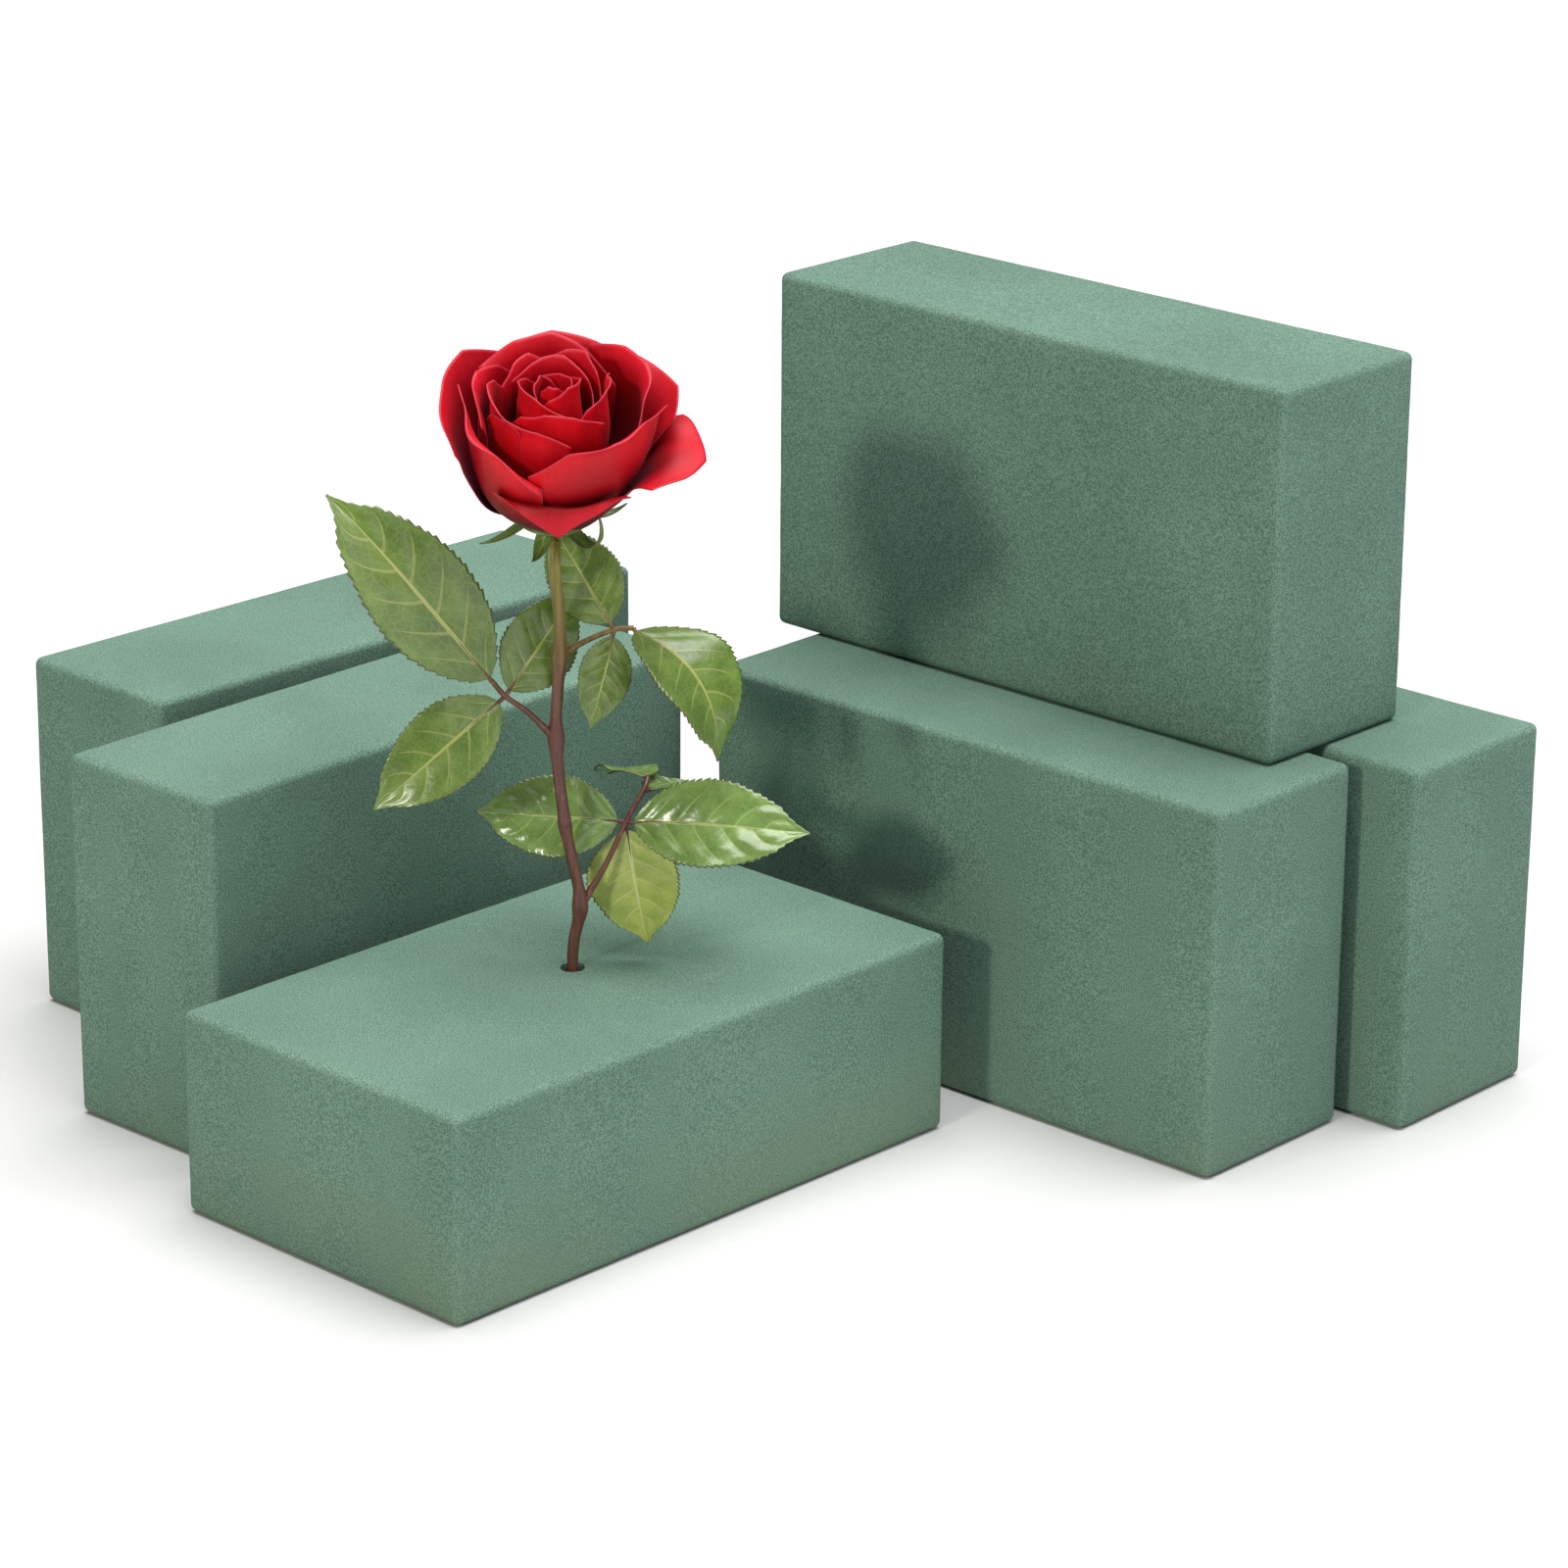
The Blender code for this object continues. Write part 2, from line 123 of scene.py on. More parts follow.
def patch(name: str, columns: int, rows: int, shape: Callable[[float, float], Vector]) -> bpy.types.Object:
    """Add a grid and lay its points on a surface, keeping the grid's own UV map.

    Args:
        name: the piece's name.
        columns: faces across.
        rows: faces along.
        shape: gives a point in metres for across, -1 to 1, and along, 0 to 1.

    Returns:
        The open surface, smooth shaded, with its origin at the frame's origin.
    """
    deselect_all()
    bpy.ops.mesh.primitive_grid_add(x_subdivisions=columns, y_subdivisions=rows, size=2.0)
    piece = bpy.context.object
    piece.name = piece.data.name = name
    for vertex in piece.data.vertices:
        vertex.co = shape(vertex.co.x, (vertex.co.y + 1.0) / 2.0)
    bpy.ops.object.shade_smooth()
    return piece


def thicken(piece: bpy.types.Object, thickness: float, other_side: int = 0) -> None:
    """Give an open surface its thickness, half on each side.

    Args:
        piece: the open surface.
        thickness: in metres.
        other_side: how many material slots further on the back's finish is.
    """
    wall = piece.modifiers.new("thickness", "SOLIDIFY")
    wall.thickness = thickness
    wall.offset = 0.0
    wall.use_even_offset = False
    wall.material_offset = other_side
    apply_modifiers(piece)


def tubes(name: str, runs: Sequence[Run], sides: int) -> bpy.types.Object:
    """Make one mesh of round tubes.

    Args:
        name: the piece's name.
        runs: each tube's centre line and its radius at each point, in metres.
        sides: how many sides a tube has, a multiple of four.

    Returns:
        The piece, as a mesh with closed ends.
    """
    deselect_all()
    bpy.ops.curve.primitive_nurbs_path_add()
    piece = bpy.context.object
    piece.name = name
    curve = piece.data
    curve.splines.clear()
    curve.dimensions = "3D"
    curve.bevel_depth = 1.0
    curve.bevel_resolution = sides // 2 - 2
    curve.use_fill_caps = True
    for line, radii in runs:
        spline = curve.splines.new("POLY")
        spline.points.add(len(line) - 1)
        for point, place, radius in zip(spline.points, line, radii):
            point.co = (*place, 1.0)
            point.radius = radius
    bpy.ops.object.convert(target="MESH")
    piece = bpy.context.object
    bpy.ops.object.mode_set(mode="EDIT")
    bpy.ops.mesh.select_all(action="SELECT")
    bpy.ops.mesh.remove_doubles(threshold=WELD)
    bpy.ops.mesh.normals_make_consistent(inside=False)
    bpy.ops.object.mode_set(mode="OBJECT")
    bpy.ops.object.shade_smooth()
    return piece


def hand_over(piece: bpy.types.Object, body: str, slot: str, *nodes: str) -> None:
    """Let a finished piece ride on its body in place of its CAD nodes.

    Args:
        piece: the finished piece.
        body: the body it moves with.
        slot: the record's material slot, not used.
        nodes: the CAD nodes it stands for.
    """
    deselect_all()
    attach(piece, body)
    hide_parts(*nodes)
    LOG.info("%s rides on %s and stands for %s", piece.name, body, ", ".join(nodes) or "nothing")


# ---- finishes --------------------------------------------------------------------------------


class Finish:
    """One material, with short ways to lay out its nodes."""

    def __init__(self, name: str) -> None:
        """Start a material with a Principled shader.

        Args:
            name: the material's name.
        """
        self.material = bpy.data.materials.new(name)
        self.material.use_nodes = True
        self.tree = self.material.node_tree
        self.shader = self.tree.nodes["Principled BSDF"]

    def feed(self, socket: Socket, value: object) -> None:
        """Link a socket to another one, or set its value.

        Args:
            socket: the input.
            value: another node's output, or a plain value.
        """
        if isinstance(value, Socket):
            self.tree.links.new(value, socket)
        else:
            socket.default_value = value

    def add(self, kind: str, feeds: dict[object, object], **settings: object) -> bpy.types.Node:
        """Add a node.

        Args:
            kind: the node's type.
            feeds: what each of its inputs is set or linked to.
            **settings: the node's own options.

        Returns:
            The new node.
        """
        node = self.tree.nodes.new(kind)
        for option, value in settings.items():
            setattr(node, option, value)
        for socket, value in feeds.items():
            self.feed(node.inputs[socket], value)
        return node

    def math(self, operation: str, first: object, second: object = 0.0) -> Socket:
        """Work out one number from two."""
        return self.add("ShaderNodeMath", {0: first, 1: second}, operation=operation).outputs[0]

    def fade(self, value: object, low: float, high: float, start: float = 0.0, end: float = 1.0) -> Socket:
        """Turn a number into a smooth share between two limits."""
        feeds = {"Value": value, "From Min": low, "From Max": high, "To Min": start, "To Max": end}
        return self.add("ShaderNodeMapRange", feeds, interpolation_type="SMOOTHSTEP").outputs[0]

    def mix(self, share: object, first: object, second: object) -> Socket:
        """Mix two colours."""
        return self.add("ShaderNodeMix", {0: share, 6: first, 7: second}, data_type="RGBA").outputs[2]

    def noise(self, vector: object, scale: float, detail: float = 2.0, rough: float = 0.5) -> Socket:
        """Read a noise pattern."""
        feeds = {"Vector": vector, "Scale": scale, "Detail": detail, "Roughness": rough}
        return self.add("ShaderNodeTexNoise", feeds).outputs[0]

    def stretch(self, vector: object, scale: Point, location: Point = (0.0, 0.0, 0.0)) -> Socket:
        """Stretch and shift a pattern's coordinates."""
        feeds = {"Vector": vector, "Scale": scale, "Location": location}
        return self.add("ShaderNodeMapping", feeds).outputs[0]

    def place(self) -> Socket:
        """Return the piece's own coordinates, in metres."""
        return self.add("ShaderNodeTexCoord", {}).outputs["Object"]

    def surface(self) -> tuple[Socket, Socket, Socket]:
        """Read the piece's UV map.

        Returns:
            The UV coordinates, then across and along on their own.
        """
        uv = self.add("ShaderNodeUVMap", {}, uv_map="UVMap").outputs[0]
        parts = self.add("ShaderNodeSeparateXYZ", {0: uv})
        return uv, parts.outputs[0], parts.outputs[1]

    def bump(self, height: object, strength: float, distance: float, under: object = None) -> Socket:
        """Raise the surface by a pattern.

        Args:
            height: the pattern.
            strength: how much of the bump shows.
            distance: how high the whole pattern stands, in metres.
            under: another bump to lay it over.

        Returns:
            The bumped normal.
        """
        feeds = {"Height": height, "Strength": strength, "Distance": distance}
        if under is not None:
            feeds["Normal"] = under
        return self.add("ShaderNodeBump", feeds).outputs[0]

    def set(self, **values: object) -> None:
        """Set the shader's inputs, with _ for each space in a name."""
        for name, value in values.items():
            self.feed(self.shader.inputs[name.replace("_", " ")], value)


@dataclass(frozen=True)
class FoamFinish:
    """Fine open-cell foam: a felt-like speckle over a slow mottling, warmer near the floor."""

    light: Colour = (0.182, 0.294, 0.234, 1.0)
    dark: Colour = (0.088, 0.160, 0.120, 1.0)
    warm: Colour = (0.140, 0.196, 0.118, 1.0)
    cell: float = 0.5 * MM
    warm_height: float = 55.0 * MM

    def make(self, name: str) -> bpy.types.Material:
        """Build the material.

        Args:
            name: the material's name.

        Returns:
            The material.
        """
        finish = Finish(name)
        place = finish.place()
        fine = finish.noise(place, 1.0 / self.cell, 2.0, 0.6)
        coarse = finish.noise(place, 0.4 / self.cell, 3.0, 0.6)
        mottle = finish.noise(place, 14.0, 4.0, 0.55)
        grain = finish.math("ADD", finish.math("MULTIPLY", fine, 0.85), finish.math("MULTIPLY", coarse, 0.15))
        colour = finish.mix(finish.fade(grain, 0.42, 0.58), self.dark, self.light)
        height = finish.add("ShaderNodeSeparateXYZ", {0: place}).outputs[2]
        near_floor = finish.fade(height, 0.0, self.warm_height, 0.5, 0.0)
        low = finish.math("MULTIPLY", near_floor, finish.fade(mottle, 0.35, 0.65))
        colour = finish.mix(low, colour, self.warm)
        shade = finish.fade(mottle, 0.3, 0.7, 0.90, 1.06)
        tone = finish.add("ShaderNodeHueSaturation", {"Value": shade, "Color": colour}).outputs[0]
        pits = finish.add("ShaderNodeTexVoronoi", {"Vector": place, "Scale": 0.8 / self.cell}).outputs[0]
        bump = finish.bump(coarse, 0.2, 0.3 * MM)
        bump = finish.bump(pits, 0.3, 0.2 * MM, bump)
        bump = finish.bump(fine, 0.4, 0.15 * MM, bump)
        finish.set(Base_Color=tone, Roughness=0.95, Specular_IOR_Level=0.15, Normal=bump)
        return finish.material


@dataclass(frozen=True)
class PetalFinish:
    """Velvety petal: dark at the foot as painted shade of the bloom's depths, brighter upwards, with fine
    veins and a thin pale rim.
    """

    # foot is the near-black red of painted shade, for the bloom's shaded depths where each petal's foot sits.
    foot: Colour = (0.055, 0.0, 0.003, 1.0)
    body: Colour = (0.52, 0.002, 0.008, 1.0)
    top: Colour = (0.76, 0.008, 0.020, 1.0)
    rim: Colour = (0.50, 0.05, 0.09, 1.0)
    bloom: Colour = (1.0, 0.45, 0.62, 1.0)

    def make(self, name: str) -> bpy.types.Material:
        """Build the material.

        Args:
            name: the material's name.

        Returns:
            The material.
        """
        finish = Finish(name)
        uv, across, along = finish.surface()
        side = finish.math("ABSOLUTE", finish.math("SUBTRACT", finish.math("MULTIPLY", across, 2.0), 1.0))
        # Painted shade: the colour darkens towards each petal's foot, where the bloom's depths lie in shade.
        colour = finish.mix(finish.fade(along, 0.22, 0.80), self.foot, self.body)
        colour = finish.mix(finish.fade(along, 0.70, 0.97), colour, self.top)
        edge = finish.math("MAXIMUM", finish.fade(along, 0.984, 0.998), finish.fade(side, 0.985, 1.0))
        colour = finish.mix(finish.math("MULTIPLY", edge, 0.6), colour, self.rim)
        veins = finish.noise(finish.stretch(uv, (46.0, 3.0, 1.0)), 1.0, 3.0, 0.6)
        blush = finish.noise(finish.stretch(uv, (3.0, 2.0, 1.0)), 1.0, 3.0, 0.5)
        streaks = finish.fade(veins, 0.3, 0.7, 0.94, 1.03)
        shade = finish.math("MULTIPLY", streaks, finish.fade(blush, 0.3, 0.7, 0.80, 1.10))
        tone = finish.add("ShaderNodeHueSaturation", {"Value": shade, "Color": colour}).outputs[0]
        bump = finish.bump(veins, 0.15, 0.3 * MM)
        finish.set(Base_Color=tone, Roughness=0.50, Specular_IOR_Level=0.25, Normal=bump)
        finish.set(Sheen_Weight=0.05, Sheen_Roughness=0.35, Sheen_Tint=self.bloom)
        return finish.material


class LeafTone(Enum):
    """How a leaflet is coloured: blade, dark patches, veins, and how glossy it is."""

    MATURE = ((0.138, 0.225, 0.042, 1.0), (0.080, 0.145, 0.022, 1.0), (0.34, 0.37, 0.11, 1.0), 0.32)
    GLOSSY = ((0.185, 0.300, 0.080, 1.0), (0.120, 0.205, 0.048, 1.0), (0.34, 0.42, 0.15, 1.0), 0.24)
    YOUNG = ((0.450, 0.510, 0.110, 1.0), (0.290, 0.380, 0.070, 1.0), (0.56, 0.60, 0.24, 1.0), 0.40)


@dataclass(frozen=True)
class LeafFinish:
    """Waxy leaf: a pale midrib and side veins, a brownish edge and uneven green."""

    tone: LeafTone
    veins: float = 6.0
    sweep: float = 0.22
    edge: Colour = (0.075, 0.060, 0.022, 1.0)

    def make(self, name: str) -> bpy.types.Material:
        """Build the material.

        Args:
            name: the material's name.

        Returns:
            The material.
        """
        blade, patches, vein, roughness = self.tone.value
        finish = Finish(name)
        uv, across, along = finish.surface()
        centred = finish.math("SUBTRACT", finish.math("MULTIPLY", across, 2.0), 1.0)
        side = finish.math("ABSOLUTE", centred)
        bend = finish.math("MULTIPLY", finish.math("POWER", side, 1.35), self.sweep)
        stagger = finish.math("MULTIPLY", finish.math("GREATER_THAN", centred, 0.0), 0.45)
        phase = finish.math("MULTIPLY", finish.math("SUBTRACT", along, bend), self.veins)
        phase = finish.math("FRACT", finish.math("ADD", finish.math("ADD", phase, stagger), 4.0))
        gap = finish.math("ABSOLUTE", finish.math("SUBTRACT", phase, 0.5))
        thin = finish.fade(side, 0.0, 0.95, 0.055, 0.018)
        line = finish.math("GREATER_THAN", thin, gap)
        line = finish.math("MULTIPLY", line, finish.fade(side, 0.60, 0.92, 0.50, 0.0))
        spine = finish.math("LESS_THAN", side, finish.fade(along, 0.0, 1.0, 0.050, 0.016))
        cells = {"Vector": finish.stretch(uv, (13.0, 24.0, 1.0)), "Scale": 1.0}
        net = finish.add("ShaderNodeTexVoronoi", cells, feature="DISTANCE_TO_EDGE").outputs[0]
        web = finish.fade(net, 0.0, 0.09, 0.20, 0.0)
        patchy = finish.noise(finish.stretch(uv, (3.0, 5.0, 1.0)), 1.0, 4.0, 0.6)
        colour = finish.mix(finish.fade(patchy, 0.32, 0.68), patches, blade)
        colour = finish.mix(web, colour, vein)
        colour = finish.mix(finish.math("MAXIMUM", line, spine), colour, vein)
        ends = finish.math("MAXIMUM", finish.fade(side, 0.955, 0.99), finish.fade(along, 0.985, 1.0))
        colour = finish.mix(finish.math("MULTIPLY", ends, 0.8), colour, self.edge)
        bump = finish.bump(net, 0.25, 0.4 * MM)
        bump = finish.bump(finish.math("MAXIMUM", line, spine), 0.25, -0.25 * MM, bump)
        finish.set(Base_Color=colour, Roughness=roughness, Specular_IOR_Level=0.5, Normal=bump)
        finish.set(Coat_Weight=0.45, Coat_Roughness=0.20)
        return finish.material


@dataclass(frozen=True)
class StemFinish:
    """Young rose wood: maroon-brown below and olive green above, streaked along its length."""

    low: Colour = (0.130, 0.045, 0.032, 1.0)
    high: Colour = (0.235, 0.200, 0.030, 1.0)
    scar: Colour = (0.300, 0.190, 0.110, 1.0)
    turn_from: float = 0.168
    turn_to: float = 0.232

    def make(self, name: str) -> bpy.types.Material:
        """Build the material.

        Args:
            name: the material's name.

        Returns:
            The material.
        """
        finish = Finish(name)
        place = finish.place()
        height = finish.add("ShaderNodeSeparateXYZ", {0: place}).outputs[2]
        streaks = finish.noise(finish.stretch(place, (900.0, 900.0, 45.0)), 1.0, 3.0, 0.6)
        spots = finish.noise(place, 420.0, 3.0, 0.6)
        wander = finish.math("ADD", height, finish.math("MULTIPLY", streaks, 0.02))
        colour = finish.mix(finish.fade(wander, self.turn_from, self.turn_to), self.low, self.high)
        colour = finish.mix(finish.fade(spots, 0.62, 0.72, 0.0, 0.35), colour, self.scar)
        shade = finish.fade(streaks, 0.3, 0.7, 0.72, 1.15)
        tone = finish.add("ShaderNodeHueSaturation", {"Value": shade, "Color": colour}).outputs[0]
        bump = finish.bump(streaks, 0.4, 0.25 * MM)
        finish.set(Base_Color=tone, Roughness=0.38, Specular_IOR_Level=0.5, Normal=bump)
        return finish.material


@dataclass(frozen=True)
class FloorFinish:
    """Plain pale paper."""

    tint: Colour = (0.63, 0.63, 0.63, 1.0)

    def make(self, name: str) -> bpy.types.Material:
        """Build the material.

        Args:
            name: the material's name.

        Returns:
            The material.
        """
        finish = Finish(name)
        finish.set(Base_Color=self.tint, Roughness=0.9, Specular_IOR_Level=0.1)
        return finish.material


# ---- foam bricks -----------------------------------------------------------------------------


@dataclass(frozen=True)
class BrickPlace:
    """A brick's middle, its three axes from middle size to shortest, and its sizes along them."""

    centre: Vector
    axes: tuple[Vector, Vector, Vector]
    sizes: tuple[float, float, float]

    @classmethod
    def of(cls, node: str) -> "BrickPlace":
        """Read a brick's place from its CAD node.

        Args:
            node: the CAD node's name.

        Returns:
            Its place, with axes for the width, the length and the thickness.
        """
        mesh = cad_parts[node].data
        corners = {tuple(round(value, 6) for value in vertex.co) for vertex in mesh.vertices}
        points = [Vector(corner) for corner in sorted(corners)]
        low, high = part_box(node)
        foot = [point for point in points if point.z < low.z + FOOT_BAND]
        middle = sum(foot, Vector()) / len(foot)
        spread = [point - middle for point in foot]
        xx = sum(offset.x**2 for offset in spread)
        yy = sum(offset.y**2 for offset in spread)
        xy = sum(offset.x * offset.y for offset in spread)
        turn = 0.5 * math.atan2(2.0 * xy, xx - yy)
        along = Vector((math.cos(turn), math.sin(turn), 0.0))
        across = Vector((-along.y, along.x, 0.0))
        up = Vector((0.0, 0.0, 1.0))
        ranked = []
        for axis in (along, across, up):
            reach = [point.dot(axis) for point in points]
            ranked.append((max(reach) - min(reach), axis))
        (short, c), (wide, a), (long, b) = sorted(ranked, key=lambda pair: pair[0])
        if a.cross(b).dot(c) < 0:
            c = -c
        centre = Vector((middle.x, middle.y, (low.z + high.z) / 2))
        return cls(centre, (a, b, c), (wide, long, short))

    def matrix(self) -> Matrix:
        """Return the turn and shift from the bench to the brick's place."""
        turn = Matrix(self.axes).transposed().to_4x4()
        return Matrix.Translation(self.centre) @ turn


@dataclass
class FoamBricks:
    """The six bricks, cut from one master."""

    nodes: dict[str, str]
    edge_radius: float = 2.8 * MM
    edge_segments: int = 5
    facing: float = 4.0 * MM
    unevenness: float = 0.3 * MM
    swell_size: float = 35.0 * MM
    crumbling: float = 0.2 * MM
    crumb_size: float = 5.0 * MM
    hole_radius: float = 3.9 * MM
    hole_depth: float = 52.0 * MM
    hole_flare: float = 0.5 * MM
    hole_rag: float = 0.35 * MM
    rag_scale: float = 450.0
    hole_rings: tuple[float, ...] = (-0.3, 0.6, 1.5, 3.0, 8.0, 20.0, 35.0)

    def master(self, sizes: tuple[float, float, float]) -> bpy.types.Object:
        """Make one brick on the bench, with rounded edges and an even net of faces.

        Args:
            sizes: width, length and thickness.

        Returns:
            The brick, centred on the origin.
        """
        deselect_all()
        bpy.ops.mesh.primitive_cube_add(size=1.0, scale=sizes)
        brick = bpy.context.object
        bpy.ops.object.transform_apply(location=False, rotation=False, scale=True)
        bpy.ops.object.mode_set(mode="EDIT")
        bpy.ops.mesh.select_all(action="SELECT")
        bpy.ops.mesh.bevel(offset=self.edge_radius, segments=self.edge_segments, affect="EDGES")
        for axis, size in enumerate(sizes):
            normal = [1.0 if axis == other else 0.0 for other in range(3)]
            inner = size - 2 * self.edge_radius
            cuts = round(inner / self.facing)
            for cut in range(1, cuts):
                spot = [(cut / cuts - 0.5) * inner * share for share in normal]
                bpy.ops.mesh.select_all(action="SELECT")
                bpy.ops.mesh.bisect(plane_co=spot, plane_no=normal)
        bpy.ops.object.mode_set(mode="OBJECT")
        group = brick.vertex_groups.new(name="edges")
        for vertex in brick.data.vertices:
            close = sorted(size / 2 - abs(value) for size, value in zip(sizes, vertex.co))[1]
            weight = 1.0 - ease(close, 0.0, 1.6 * self.edge_radius)
            group.add([vertex.index], weight, "REPLACE")
        return brick

    def rough_up(self, brick: bpy.types.Object) -> None:
        """Make the faces slightly uneven and the edges slightly crumbled.

        Args:
            brick: the brick, in its place.
        """
        for name, size, depth, group in (
            ("unevenness", self.swell_size, self.unevenness, ""),
            ("crumbling", self.crumb_size, self.crumbling, "edges"),
        ):
            clouds = bpy.data.textures.new(name, "CLOUDS")
            clouds.noise_scale = size
            clouds.noise_depth = 2
            waves = brick.modifiers.new(name, "DISPLACE")
            waves.texture = clouds
            waves.texture_coords = "GLOBAL"
            waves.strength = depth
            waves.mid_level = 0.5 if not group else 0.75
            waves.vertex_group = group
        apply_modifiers(brick)

    def cut_hole(self, brick: bpy.types.Object, mouth: Vector) -> None:
        """Cut the stem's blind hole, a little ragged and flared at its mouth.

        Args:
            brick: the flat brick.
            mouth: the middle of the hole's mouth.
        """
        deselect_all()
        above = 4.0 * MM
        bpy.ops.mesh.primitive_cylinder_add(
            vertices=48,
            radius=self.hole_radius,
            depth=self.hole_depth + above,
            location=mouth + Vector((0.0, 0.0, (above - self.hole_depth) / 2)),
        )
        cutter = bpy.context.object
        bpy.ops.object.transform_apply(location=True, rotation=True, scale=True)
        bpy.ops.object.mode_set(mode="EDIT")
        for below in self.hole_rings:
            bpy.ops.mesh.select_all(action="SELECT")
            bpy.ops.mesh.bisect(plane_co=mouth - Vector((0.0, 0.0, below * MM)), plane_no=(0.0, 0.0, 1.0))
        bpy.ops.object.mode_set(mode="OBJECT")
        for vertex in cutter.data.vertices:
            arm = Vector((vertex.co.x - mouth.x, vertex.co.y - mouth.y, 0.0))
            flare = self.hole_flare * ease(vertex.co.z, mouth.z - 1.6 * MM, mouth.z)
            rag = noise.noise(vertex.co * self.rag_scale) * self.hole_rag
            if arm.length > 0.5 * self.hole_radius:
                vertex.co += arm.normalized() * (flare + rag)
        hole = brick.modifiers.new("stem_hole", "BOOLEAN")
        hole.operation = "DIFFERENCE"
        hole.solver = "EXACT"
        hole.object = cutter
        apply_modifiers(brick)
        bpy.data.objects.remove(cutter, do_unlink=True)

    def build(self, finish: bpy.types.Material, mouth: Vector) -> None:
        """Make, place and dress the six bricks.

        Args:
            finish: the foam.
            mouth: the middle of the stem hole's mouth.
        """
        places = {body: BrickPlace.of(node) for body, node in self.nodes.items()}
        master = self.master(next(iter(places.values())).sizes)
        for body, node in self.nodes.items():
            brick = bpy.data.objects.new(f"foam_{node}", master.data.copy())
            bpy.context.scene.collection.objects.link(brick)
            brick.vertex_groups.new(name="edges")
            brick.data.transform(places[body].matrix())
            self.rough_up(brick)
            if body == "flat":
                self.cut_hole(brick, mouth)
            take_up(brick)
            bpy.ops.object.shade_smooth_by_angle(angle=math.radians(50.0))
            brick.data.materials.clear()
            brick.data.materials.append(finish)
            hand_over(brick, body, "foam", node)
        bpy.data.objects.remove(master, do_unlink=True)


# ---- the rose's own frame --------------------------------------------------------------------


@dataclass(frozen=True)
class RoseFrame:
    """The rose's place: the mouth of its hole, turned about the upright, and the tilted bloom."""

    mouth: Vector
    turn: float = 43.0
    bloom: Point = (-5.0, -4.0, 170.0)
    tilt: float = 20.0

    @classmethod
    def find(cls) -> "RoseFrame":
        """Find the hole's mouth from the stem's foot and the flat brick's top.

        Returns:
            The rose's place.
        """
        foot_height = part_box("rose_stem")[0].z
        points = [vertex.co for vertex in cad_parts["rose_stem"].data.vertices]
        foot = [point for point in points if point.z < foot_height + FOOT_BAND]
        middle = sum(foot, Vector()) / len(foot)
        return cls(Vector((middle.x, middle.y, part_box("brick_flat")[1].z)))

    def matrix(self) -> Matrix:
        """Return the step from the rose's own millimetres to the frame's metres."""
        turn = Matrix.Rotation(math.radians(self.turn), 4, "Z")
        return Matrix.Translation(self.mouth) @ turn @ Matrix.Scale(MM, 4)

    def bloom_matrix(self) -> Matrix:
        """Return the step from the bloom's millimetres, its Z up the flower's axis, to metres."""
        tilt = Matrix.Rotation(math.radians(self.tilt), 4, "X")
        return self.matrix() @ Matrix.Translation(self.bloom) @ tilt


# ---- bloom -----------------------------------------------------------------------------------


@dataclass(frozen=True)
class Petal:
    """One petal, a patch of a bowed shell, in millimetres and degrees.

    It spans half_span to each side of its direction. Its bow runs from its foot through two handles to
    its furthest point, as (radius, height). Its rim is the share of the bow that it reaches, in even
    steps from its inner to its outer side. Roll is how far its rim turns outwards, past roll_from.
    """

    number: int
    direction: float
    half_span: float
    ring: int
    bow: tuple[tuple[float, float], tuple[float, float], tuple[float, float]]
    rim: tuple[float, ...]
    roll: float
    roll_from: float = 0.88
    ripple: float = 0.4
    sag: float = 1.0
    waist: float = 1.0
    growth: float = 1.0

    def reach(self, across: float) -> float:
        """Read its rim.

        Args:
            across: -1 at its inner side to 1 at its outer side.

        Returns:
            The share of the bow that it reaches there.
        """
        place = (across + 1.0) / 2.0 * (len(self.rim) - 1)
        step = min(int(place), len(self.rim) - 2)
        share = place - step
        low, high = self.rim[step], self.rim[step + 1]
        before = self.rim[step - 1] if step else 2 * low - high
        after = self.rim[step + 2] if step + 2 < len(self.rim) else 2 * high - low
        bend = (high - low - (after - before) / 2.0) * share * (1.0 - share)
        return low + (high - low) * share + 0.25 * bend


